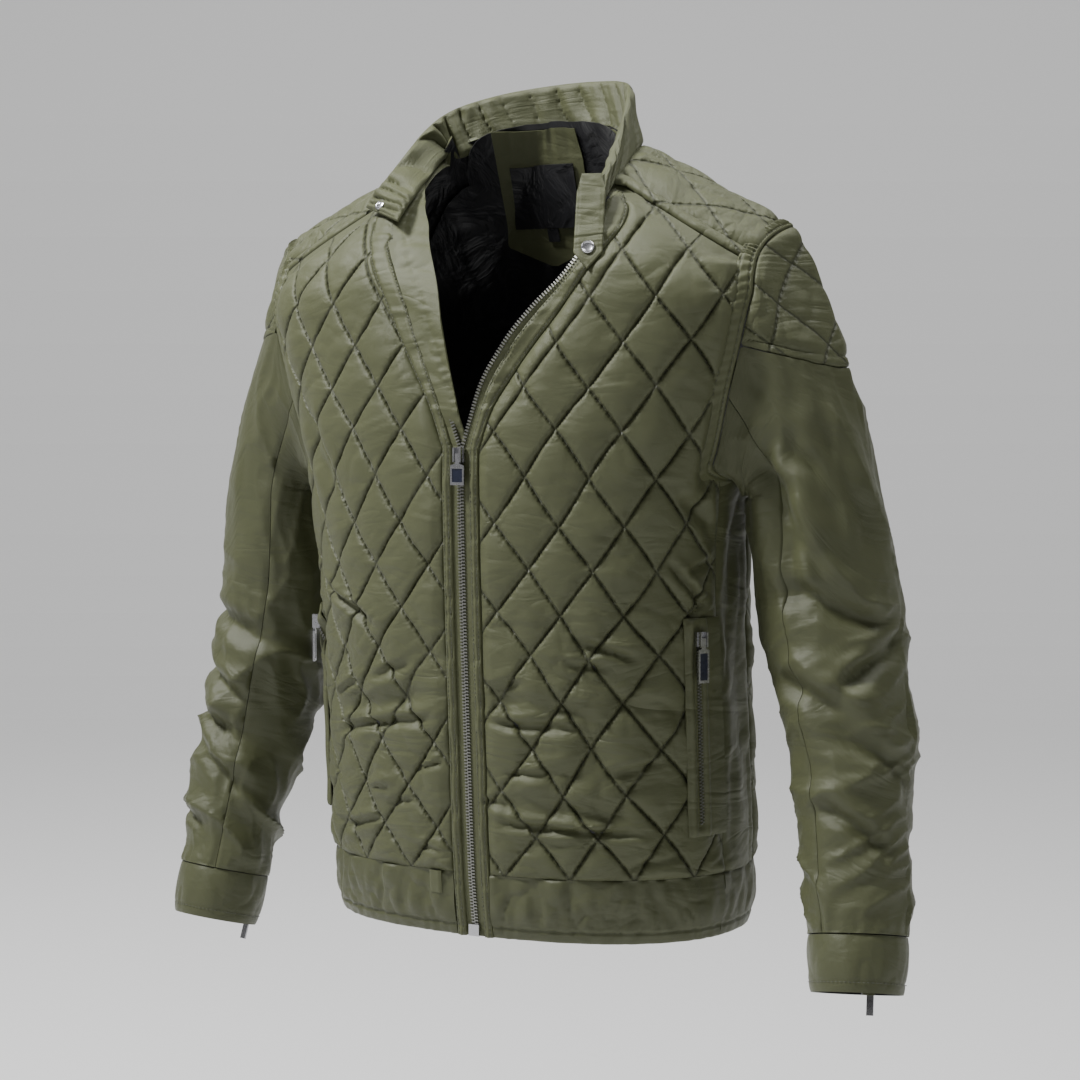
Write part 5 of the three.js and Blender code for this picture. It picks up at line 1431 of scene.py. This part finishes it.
def neck_point(side, panel, height, out):
    if panel == "yoke":
        return yoke_point(side, np.array(NECK_HALF[side] - 3.5), np.array(1e-4))
    if panel == "front":
        x = float(read(OPENING[side], "height", "x", height)) - (4.5 if side > 0 else 1.5)
        return body_row(side, [along_at_x(side, x, height)], height)[0] - np.array([0, out, 0])
    x = 2.0
    if height < NECK_BACK:
        x = NECK_HALF[side] - float(read(NECKLINE_BACK, "height", "inset", height))
    return body_row(side, [along_at_x(side, x, height, True)], height)[0]


collar_seam = curve_through([neck_point(*row[:4]) for row in COLLAR], False)
collar_top = curve_through([row[4:] for row in COLLAR], False)


def collar_row(u, v):
    share = np.clip(np.asarray(u, float) / COLLAR_LENGTH, 0, 1) * (len(collar_seam) - 1)
    steps = np.arange(len(collar_seam))
    seam = np.stack([np.interp(share, steps, collar_seam[:, k]) for k in range(3)], axis=-1)
    top = np.stack([np.interp(share, steps, collar_top[:, k]) for k in range(3)], axis=-1)
    seam = seam + unit_of(top - seam) * COLLAR_GAP
    return blend(seam, top, v / COLLAR_HEIGHT)


collar_form = Form(collar_row, np.linspace(0, COLLAR_LENGTH, 216),
                   np.linspace(0, COLLAR_HEIGHT, 30), 1)


def collar_puff(u, v):
    up = v / COLLAR_HEIGHT
    edge = np.minimum(np.minimum(up, 1 - up) * COLLAR_HEIGHT, np.minimum(u, COLLAR_LENGTH - u))
    round_edge = eased(edge / 5)
    slant = u + 7 * (up - 0.5) + 5 * rough(u, v, 30, 40, 1)
    wave = np.abs(np.sin(np.pi * slant / 17 + 1.3 * rough(u, 0 * v, 33, 1, 5)))
    gather = 5.6 * (wave**0.5 - 0.62) + 1.6 * rough(u + 6 * up, v, 6, 24, 6)
    uneven = 0.75 + 0.5 * rough(u, 0 * v, 25, 1, 8)
    return 1.3 * round_edge + gather * np.clip(edge / 6, 0, 1) * uneven


collar = cloth("collar_band", collar_form, np.linspace(0, COLLAR_HEIGHT, 38), lambda v: 0.0,
               lambda v: float(COLLAR_LENGTH), 1.5, (trim_shell,), collar_puff, coarse=1, both=True)
sew_on(collar, ["collar"])

# ## Collar tab and snaps
# A pointed tab of doubled shell hangs from the collar's left end. It holds the socket of a
# nickel ring snap, whose stud is set in the folded right end.
TAB = {"x": 97, "y": -75, "z": -38, "half": 11, "length": 62, "point": 13, "thick": 2, "lean": 22,
       "turn": 20}
tab_pose = Matrix.Translation((TAB["x"], TAB["y"], TAB["z"])) @ Matrix.Rotation(
    math.radians(TAB["turn"]), 4, "Z") @ Matrix.Rotation(math.radians(90 - TAB["lean"]), 4, "X")
tab_turn = np.array(tab_pose.to_3x3())
tab_place = np.array(tab_pose.translation)


def tab_row(u, v):
    u = np.asarray(u, float)
    local = np.stack([u, np.full_like(u, v), np.full_like(u, TAB["thick"] - 0.6) + 0.002 * u * u],
                     axis=-1)
    return local @ tab_turn.T + tab_place


tab_form = Form(tab_row, np.arange(-14, 15, 2.0), np.arange(-66, 22, 2.0), 1)


def tab_half(v):
    pointed = min(1, max((v + TAB["length"]) / TAB["point"], 0.04))
    return TAB["half"] * pointed - 0.2 * max(v, 0)


def tab_puff(u, v):
    half = TAB["half"] * np.clip((v + TAB["length"]) / TAB["point"], 0.04, 1)
    edge = half - np.abs(u)
    stitch = 0.4 * bell((edge - 2.2) / 0.6)
    return 0.8 * eased(edge / 1.6) - stitch + 0.5 * rough(u, v, 9, 6, 3)


tab = cloth("collar_tab_cloth", tab_form, np.linspace(-TAB["length"] + 0.3, 16, 72),
            lambda v: -tab_half(v),
            lambda v: tab_half(v), 0.9, (shell,), tab_puff, wall=1.2, coarse=2)
sew_on(tab, ["collar_tab"])


def steel_finish(name, color, roughness, wear=0.12):
    """Plated metal with fine scratches and duller patches where it is handled."""
    material, start, shader = new_material(name, Metallic=1.0)
    at = from_object(start)
    patches, scratches = noise(at, 160.0, 3.0), noise(at, 900.0, 2.0, 3.0)
    plug(material, mixed(patches.clamped(), color_scaled(color, 0.75), color), shader.inputs["Base Color"])
    plug(material, (patches * wear + scratches * 0.1 + roughness).clamped(),
         shader.inputs["Roughness"])
    grained(material, shader, scratches * 0.00002)
    return material


nickel = steel_finish("polished_nickel", (0.55, 0.55, 0.57), 0.16)
teeth_metal = steel_finish("zip_teeth_metal", (0.27, 0.27, 0.25), 0.36)


def turned(name, profile, centre, axis, material, around=28):
    """A round piece from a profile of (radius, height) along an axis."""
    mesh = bpy.data.meshes.new(name)
    turn = np.linspace(0, 2 * math.pi, around, endpoint=False)
    rings_ = [[(r * math.cos(a), r * math.sin(a), h) for a in turn] for r, h in profile]
    points = [p for r in rings_ for p in r]
    faces = []
    for k in range(len(profile) - 1):
        for i in range(around):
            j = (i + 1) % around
            faces.append((k * around + i, k * around + j, (k + 1) * around + j,
                          (k + 1) * around + i))
    faces.append(tuple(range(around))[::-1])
    faces.append(tuple((len(profile) - 1) * around + i for i in range(around)))
    pose = Vector(axis).to_track_quat("Z", "Y").to_matrix().to_4x4()
    pose.translation = Vector(centre)
    mesh.from_pydata([tuple(c / 1000 for c in p) for p in points], [], faces)
    mesh.transform(pose)
    smooth_faces(mesh, SHARP_METAL)
    mesh.materials.append(material)
    return placed(name, mesh)


def centre_of(name):
    low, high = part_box(name)
    return (low + high) / 2


def normal_of(name):
    """Direction of a round node's largest flat faces."""
    mesh = node[name].data
    best = max(mesh.polygons, key=lambda f: sum(
        g.area for g in mesh.polygons if g.normal.dot(f.normal) > 0.999))
    return best.normal.copy()


RING = [(5.2, -0.8), (5.2, 0.1), (4.9, 0.7), (4.4, 0.95), (3.9, 0.7), (3.6, 0.1), (3.2, -0.1),
        (0.4, -0.1)]
DOME = [(4.6, -1.0), (4.6, -0.4), (4.3, 0.1), (3.4, 0.35), (3.1, 0.2), (2.4, 0.3), (1.9, 1.0),
        (0.9, 1.35), (0.2, 1.4)]
cap_axis = Vector(tab_turn @ np.array([0, 0, 1.0]))
cap = turned("snap_ring_cap", RING, centre_of("snap_cap"), cap_axis, nickel)
stud_axis = normal_of("snap_stud")
if stud_axis.dot(Vector((math.sin(math.radians(29)), -math.cos(math.radians(29)), 0))) < 0:
    stud_axis.negate()
stud = turned("snap_ring_stud", DOME, centre_of("snap_stud"), stud_axis, nickel)
for piece, name in ((cap, "snap_cap"), (stud, "snap_stud")):
    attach(piece, "jacket")
    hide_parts(name)

# ## Lining, neck facing and label
# Black satin lines the back. A pointed facing of shell is stitched on it below the collar and
# carries a bare woven label and a folded size tab, both black.
LINING_LOW, LINING_TOP = -330, 33
FACING = {"half": 41, "top": 29, "bottom": -62, "point": -78, "shift": -13, "over": 2.3}
LABEL = {"half": 31, "top": 2, "bottom": -47, "shift": -12, "over": 4.2}
SIZE_TAB = {"half": 5, "top": -47.6, "bottom": -58, "shift": -9, "over": 4.2}
lining_depth = lambda v: 4.4 + 2.6 * np.clip((v + 130) / 60, 0, 1)


def lining_reach(side, v):
    if v > 0:
        return NECK_HALF[side] + 1 - float(read(NECKLINE_BACK, "height", "inset", v - 4))
    wide = blend(NECK_HALF[side] - 3, 150, min(max(-v / 90, 0), 1))
    return min(wide, back_reach(side, v) - 10)


def lining_sag(u, v):
    return -lining_depth(v) - 0.6 - 1.4 * np.abs(rough(u + 0.2 * v, v, 16, 60, 2))


piece = cloth("lining_satin_back", back_form, np.linspace(LINING_LOW, LINING_TOP, 120),
              lambda v: -lining_reach(-1, v), lambda v: lining_reach(1, v), 3.4, (lining_satin,),
              sag=lining_sag, wall=0.6, coarse=1, outward=-1)
sew_on(piece, ["lining_back"])


def on_facing(part):
    def sag(u, v):
        if part is FACING:
            gathers = 0.8 * rough(u, v, 5, 40, 6) * smooth((v + 5) / 30)
        else:
            gathers = 0.2 * rough(u, v, 16, 12, 5)
        return -lining_depth(v) - part["over"] - gathers - 0.6
    return sag


def facing_half(v):
    share = min(max((v - FACING["point"]) / (FACING["bottom"] - FACING["point"]), 0), 1)
    return blend(3, FACING["half"], share)


patches = (
    ("neck_facing_cloth", "neck_facing", FACING, FACING["point"], FACING["top"], facing_half,
     trim_shell),
    ("woven_label", "label", LABEL, LABEL["bottom"], LABEL["top"], lambda v: LABEL["half"],
     lining_satin),
    ("folded_size_tab", "size_tab", SIZE_TAB, SIZE_TAB["bottom"], SIZE_TAB["top"],
     lambda v: SIZE_TAB["half"], lining_satin),
)
for name, solid, part, low, high, half_at, material in patches:
    piece = cloth(name, back_form, np.linspace(low, high, 50),
                  lambda v, p=part, h=half_at: p["shift"] - h(v),
                  lambda v, p=part, h=half_at: p["shift"] + h(v), 1.6, (material,),
                  sag=on_facing(part), wall=0.9, coarse=1, outward=-1)
    sew_on(piece, [solid])

# ## Pockets
# A plain welt patch lies on each front's side. Its zip runs upright between two folded lips,
# with a slider at the top when it is closed. The cuffs' short zip tapes are made here too.
POCKET = {"along": 178, "top": -365, "bottom": -517, "width": 46, "wall": 1.2, "zip": 11}
CLEAR = 5.0
for side in (1, -1):
    a, zip_at = POCKET["along"], POCKET["along"] + POCKET["zip"]
    end = lambda v, s=side: min(POCKET["along"] + POCKET["width"], side_seam_front(s, v) - 2)

    def puff(u, v, a=a, zip_at=zip_at):
        rim = np.minimum(np.minimum(u - a, v - POCKET["bottom"] + 8), POCKET["top"] + 8 - v)
        edge = eased(rim / 2.5)
        ends = smooth((v - POCKET["bottom"] + 3) / 4) * smooth((POCKET["top"] + 3 - v) / 4)
        dip = bell((u - zip_at) / 3.2) * ends
        lips = bell((np.abs(u - zip_at) - 6) / 2.2)
        stitch = 0.6 * bell((np.abs(u - zip_at) - 9.5) / 0.7) + 0.5 * bell((rim - 2.6) / 0.7)
        lift = CLEAR + POCKET["wall"] * edge - 1.6 * dip + 1.3 * lips
        return lift - stitch + 0.7 * rough(u, v, 14, 22, 8)

    piece = cloth("pocket_welt_" + SIDE[side], body[side],
                  np.linspace(POCKET["bottom"] - 8, POCKET["top"] + 8, 90),
                  lambda v, a=a: float(a), end, 1.2, (shell,), puff, front_sag(side),
                  wall=-CLEAR + 1.2, outward=side)
    sew_on(piece, ["pocket_patch_" + SIDE[side]])
    tape = cloth("pocket_tape_cloth_" + SIDE[side], body[side],
                 np.linspace(POCKET["bottom"], POCKET["top"], 40),
                 lambda v, z=zip_at: z - 4.0, lambda v, z=zip_at: z + 4.0, 1.0, (trim_shell,),
                 sag=lambda u, v, f=front_sag(side): f(u, v) + CLEAR + 0.9, wall=0.5, coarse=1,
                 outward=side)
    sew_on(tape, ["pocket_tape_" + SIDE[side]])
    cuff_tape = cloth("cuff_tape_cloth_" + SIDE[side], cuff_forms[side],
                      np.linspace(0, CUFF_DEEP, 22),
                      lambda v: CUFF_ZIP_ANGLE - CUFF_ZIP_HALF + 0.3,
                      lambda v: CUFF_ZIP_ANGLE + CUFF_ZIP_HALF - 0.3,
                      2.0, (trim_shell,), wall=1.0, coarse=1, outward=side, unit=(0.63, 1))
    sew_on(cuff_tape, ["cuff_tape_" + SIDE[side]])

# ## Zip chains
# Each chain is two rows of small metal teeth clamped on the tapes' edges. They mesh below the
# slider and stand free along the open V.
def repeat_tree(name, round_piece):
    """Nodes that set one small shape at each pitch along a path, standing on its out vector."""
    tree = bpy.data.node_groups.new(name, "GeometryNodeTree")
    face = tree.interface
    face.new_socket("Geometry", in_out="INPUT", socket_type="NodeSocketGeometry")
    for label, kind in (("Pitch", "Float"), ("Size", "Vector"), ("Material", "Material")):
        face.new_socket(label, in_out="INPUT", socket_type="NodeSocket" + kind)
    face.new_socket("Geometry", in_out="OUTPUT", socket_type="NodeSocketGeometry")
    new = tree.nodes.new
    into, out = new("NodeGroupInput"), new("NodeGroupOutput")
    line = new("GeometryNodeMeshToCurve")
    resample = new("GeometryNodeResampleCurve")
    resample.mode = "LENGTH"
    place = new("GeometryNodeInstanceOnPoints")
    along = new("GeometryNodeInputTangent")
    up = new("GeometryNodeInputNamedAttribute")
    up.data_type = "FLOAT_VECTOR"
    up.inputs["Name"].default_value = "out"
    first, second = (new("FunctionNodeAlignRotationToVector") for _ in range(2))
    first.axis, second.axis, second.pivot_axis = "X", "Z", "X"
    shape = new("GeometryNodeMeshIcoSphere" if round_piece else "GeometryNodeMeshCube")
    if round_piece:
        shape.inputs["Subdivisions"].default_value = 1
        shape.inputs["Radius"].default_value = 0.5
    real, paint = new("GeometryNodeRealizeInstances"), new("GeometryNodeSetMaterial")
    for a, b in (
        (into.outputs["Geometry"], line.inputs[0]), (line.outputs[0], resample.inputs["Curve"]),
        (into.outputs["Pitch"], resample.inputs["Length"]),
        (resample.outputs[0], place.inputs["Points"]),
        (shape.outputs[0], place.inputs["Instance"]), (along.outputs[0], first.inputs["Vector"]),
        (first.outputs[0], second.inputs["Rotation"]), (up.outputs[0], second.inputs["Vector"]),
        (second.outputs[0], place.inputs["Rotation"]),
        (into.outputs["Size"], place.inputs["Scale"]),
        (place.outputs[0], real.inputs[0]), (real.outputs[0], paint.inputs["Geometry"]),
        (into.outputs["Material"], paint.inputs["Material"]), (paint.outputs[0], out.inputs[0]),
    ):
        tree.links.new(a, b)
    return tree


tooth_tree, stitch_tree = repeat_tree("zip_teeth", False), repeat_tree("stitches", True)


def repeated(name, tree, paths, pitch, size, material, smooth_shading):
    """Small shapes along paths; a path is its points and the way out at each, in millimetres."""
    points = np.concatenate([p for p, _ in paths]) / 1000
    ways = np.concatenate([w for _, w in paths])
    edges, first = [], 0
    for p, _ in paths:
        edges += [(first + i, first + i + 1) for i in range(len(p) - 1)]
        first += len(p)
    mesh = bpy.data.meshes.new(name + "_path")
    mesh.from_pydata(points.tolist(), edges, [])
    attribute = mesh.attributes.new("out", "FLOAT_VECTOR", "POINT")
    attribute.data.foreach_set("vector", ways.ravel())
    guide = placed(name + "_path", mesh)
    modifier = guide.modifiers.new("along", "NODES")
    modifier.node_group = tree
    sockets = {s.name: s.identifier for s in tree.interface.items_tree if s.in_out == "INPUT"}
    modifier[sockets["Pitch"]] = pitch / 1000
    modifier[sockets["Size"]] = [s / 1000 for s in size]
    modifier[sockets["Material"]] = material
    depsgraph = bpy.context.evaluated_depsgraph_get()
    made = bpy.data.meshes.new_from_object(guide.evaluated_get(depsgraph))
    made.name = name
    bpy.data.objects.remove(guide)
    piece = placed(name, made)
    if smooth_shading:
        smooth_faces(made)
    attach(piece, "jacket")
    return piece


def path_on(form, us, vs, out):
    """A path on a form: its points moved out, and the outward way at each."""
    us, vs = np.broadcast_arrays(np.asarray(us, float), np.asarray(vs, float))
    low = form(us, vs, out)
    return low, unit_of(form(us, vs, np.asarray(out) + 1.0) - low)


TOOTH = (1.1, 3.3, 1.9)
TOOTH_PITCH = 2.5
chains = []
CHAIN_TOP = {1: ZIP_TOP[1] - 1, -1: -206}
for side in (1, -1):
    vs = np.linspace(HEM_EDGE + 10, CHAIN_TOP[side], 700)
    us = np.array([zip_edge(side, v) for v in vs])
    closed = vs < ZIP_OPEN
    us = us + np.where(closed, 0.75, 0.9)
    vs = vs + (TOOTH_PITCH / 2 if side < 0 else 0)
    chains.append(path_on(body[side], us, vs, front_sag(side)(us, vs) - 0.4))
repeated("main_zip_teeth", tooth_tree, chains, TOOTH_PITCH, TOOTH, teeth_metal, False)
chains = []
for side in (1, -1):
    for shift in (-0.9, 0.9):
        vs = np.linspace(POCKET["bottom"] + 2, POCKET["top"] - 12, 90)
        vs = vs + (TOOTH_PITCH / 2 if shift > 0 else 0)
        us = np.full_like(vs, POCKET["along"] + POCKET["zip"] + shift)
        chains.append(path_on(body[side], us, vs, front_sag(side)(us, vs) + CLEAR + 1.4))
    for shift in (-1.6, 1.6):
        vs = np.linspace(3, CUFF_DEEP - 6, 30)
        chains.append(path_on(cuff_forms[side], np.full_like(vs, CUFF_ZIP_ANGLE + shift), vs, 0.5))
repeated("side_zip_teeth", tooth_tree, chains, TOOTH_PITCH, (1.1, 1.9, 1.2), teeth_metal,
         False)

# ## Topstitching
# Olive thread holds every strip and band, 3.4 mm a stitch. It is pulled down into a groove of
# the cloth, so only the tops of its stitches stand out.
thread, start, shader = new_material("olive_thread", Sheen_Weight=0.3)
twist = noise(from_object(start), 1500.0)
plug(thread, mixed(twist.clamped(), color_scaled(THREAD, 0.6), color_scaled(THREAD, 1.3)),
     shader.inputs["Base Color"])
plug(thread, (twist * 0.2 + 0.5).clamped(), shader.inputs["Roughness"])
paths = []
HEM_STITCH = HEM_EDGE + 9
for side in (1, -1):
    sag = front_sag(side)
    levels = np.linspace(HEM_EDGE + 2, PLACKET_TOP[side] - 4, 260)
    for edge_of, shift in ((placket_inner, 2.1), (placket_outer, -2.1)):
        us = np.array([edge_of(side, v) + shift for v in levels])
        paths.append(path_on(body[side], us, levels, sag(us, levels) + 2.3))
    start_u = placket_outer(side, HEM_STITCH) + 3
    us = np.arange(start_u, side_seam_front(side, HEM_STITCH) - 2, 2.0)
    lift = band_puff(us, np.full_like(us, HEM_STITCH)) + 0.15
    paths.append(path_on(body[side], us, HEM_STITCH, lift))
    us = np.arange(0, STRIP_ROUND, 2.0)
    for line in STRIP_STITCHES:
        paths.append(path_on(strip_forms[side], us, line, 1.1))
    angles = np.arange(CUFF_ZIP_ANGLE - 360 + CUFF_ZIP_HALF + 2, CUFF_ZIP_ANGLE - CUFF_ZIP_HALF - 2,
                       3.0)
    paths.append(path_on(cuff_forms[side], angles, CUFF_DEEP - CUFF_STITCH, 1.6))
reach = [half_round(s, HEM_STITCH) - side_seam_front(s, HEM_STITCH) - 2 for s in (-1, 1)]
us = np.arange(-reach[0], reach[1], 2.0)
paths.append(path_on(back_form, us, HEM_STITCH, band_puff(us, np.full_like(us, HEM_STITCH)) + 0.15))
repeated("topstitching", stitch_tree, paths, STITCH * 1000, (2.6, 0.6, 0.5), thread,
         True)

# ## Sliders, pulls and the zip box
# Die-cast and nickel plated. Each framed pull holds a dark enamel insert and hinges on its
# slider; the cuff pulls are plain bars.
enamel, start, shader = new_material("dark_blue_enamel", Coat_Weight=0.6, Coat_Roughness=0.1)
spots = noise(from_object(start), 600.0)
plug(enamel, mixed(spots.clamped(), (0.004, 0.006, 0.016), (0.01, 0.014, 0.034)),
     shader.inputs["Base Color"])
plug(enamel, (spots * 0.15 + 0.22).clamped(), shader.inputs["Roughness"])
SLIDER_LENGTH, PULL_FRAME = 11, 1.5
PULL_SIZE = {"main_pull": (23, 12), "pocket_pull_left": (33, 10), "pocket_pull_right": (33, 10)}
for name, (length, width) in PULL_SIZE.items():
    corners = np.array([v.co for v in node[name].data.vertices]) * 1000
    centre = corners.mean(axis=0)
    ways = np.linalg.svd(corners - centre)[2]
    long_way, wide_way, thin_way = ways
    reach = (corners - centre) @ long_way
    tip = 1 if np.abs(((corners - centre) @ wide_way)[reach > reach.max() - 0.5]).max() > 3 else -1
    far = centre + long_way * (reach.max() if tip > 0 else reach.min())
    inner = length - 2.2 - (SLIDER_LENGTH / 2 + 1.2 + 1.4 + 2.4)
    middle = far - long_way * tip * (2.2 + inner / 2)
    for way in (wide_way, thin_way):
        reach = (corners - middle) @ way
        middle = middle + way * np.mean([reach.max(), reach.min()])
    insert = bpy.data.meshes.new(name + "_insert")
    grid = [(a, b, c) for a in (-1, 1) for b in (-1, 1) for c in (-1, 1)]
    sizes = (inner / 2 + 0.15, width / 2 - PULL_FRAME + 0.15, 0.45)
    if np.dot(np.cross(long_way, wide_way), thin_way) < 0:
        thin_way = -thin_way
    points = [middle + sum(k * s * w for k, s, w in zip(c, sizes, (long_way, wide_way, thin_way)))
              for c in grid]
    faces = [(0, 1, 3, 2), (4, 6, 7, 5), (0, 4, 5, 1), (2, 3, 7, 6), (0, 2, 6, 4), (1, 5, 7, 3)]
    insert.from_pydata([tuple(p / 1000) for p in points], [], faces)
    insert.materials.append(enamel)
    plate = placed(name + "_insert", insert)
    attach(plate, name)
for name, part in node.items():
    if name.split("_")[-1] in ("slider", "pull", "box") or "_slider_" in name or "_pull_" in name:
        part.data.materials.clear()
        part.data.materials.append(nickel)

# ## Camera, light and floor
# A long lens at chest height looks at the wearer's left front, as in the photograph. A soft
# light stands high at the camera's left and one above the left shoulder, and a weak one fills
# the right. The floor is pale and bends up into a wall.
camera_data = bpy.data.cameras.new("photo_camera")
camera_data.lens = 83.3
camera_data.sensor_width = 36
camera_data.sensor_fit = "HORIZONTAL"
camera = placed("photo_camera", camera_data)
bpy.context.scene.camera = camera
AZIMUTH, DISTANCE, CAMERA_HEIGHT, PITCH = math.radians(29), 2.0, -0.2, math.radians(2.98)
away = Vector((math.sin(AZIMUTH), -math.cos(AZIMUTH), 0))
camera.location = away * DISTANCE + Vector((0, 0, CAMERA_HEIGHT))
camera.rotation_euler = (math.pi / 2 - PITCH, 0, AZIMUTH - math.radians(0.3))


def soft_light(name, size, power, place, target=(0, 0, -0.3)):
    data = bpy.data.lights.new(name, "AREA")
    data.shape = "DISK"
    data.size = size
    data.energy = power
    lamp = placed(name, data)
    lamp.location = place
    aim = Vector(target) - Vector(place)
    lamp.rotation_euler = aim.to_track_quat("-Z", "Y").to_euler()


soft_light("key_light", 0.5, 130, (-1.08, -1.08, 1.8))
soft_light("fill_light", 2.2, 2.5, (2.3, -1.5, 0.6))
soft_light("top_light", 1.0, 40, (0.75, 0.25, 1.9))
world = bpy.data.worlds.new("studio")
bpy.context.scene.world = world
world.use_nodes = True
world.node_tree.nodes["Background"].inputs["Color"].default_value = (0.62, 0.62, 0.62, 1)
world.node_tree.nodes["Background"].inputs["Strength"].default_value = 0.34

floor_material, start, shader = new_material(
    "pale_floor", Roughness=0.9, Specular_IOR_Level=0.1, Emission_Color=(1, 1, 1, 1),
    Emission_Strength=0.31
)
speck = start.node("TexNoise", None, {"Scale": 3.0})
plug(floor_material, mixed(speck.clamped(), (0.55, 0.55, 0.55), (0.57, 0.57, 0.57)),
     shader.inputs["Base Color"])
FLOOR_HALF, FLOOR_DEPTH, WALL_RISE, BEND, FLOOR_BELOW = 6.0, 5.0, 7.0, 1.5, 0.25
floor_low = cad_box[0].z - FLOOR_BELOW
profile = [(-FLOOR_DEPTH, 0)] + [
    (FLOOR_DEPTH - BEND + BEND * math.sin(a), BEND - BEND * math.cos(a))
    for a in np.linspace(0, math.pi / 2, 16)
] + [(FLOOR_DEPTH, WALL_RISE)]
floor_mesh = bpy.data.meshes.new("floor")
corners = [(x, y, floor_low + z) for y, z in profile for x in (-FLOOR_HALF, FLOOR_HALF)]
floor_mesh.from_pydata(corners, [],
                       [(2 * i, 2 * i + 1, 2 * i + 3, 2 * i + 2) for i in range(len(profile) - 1)])
floor_mesh.materials.append(floor_material)
floor_mesh.transform(Matrix.Rotation(AZIMUTH, 4, "Z"))
floor = placed("floor", floor_mesh)
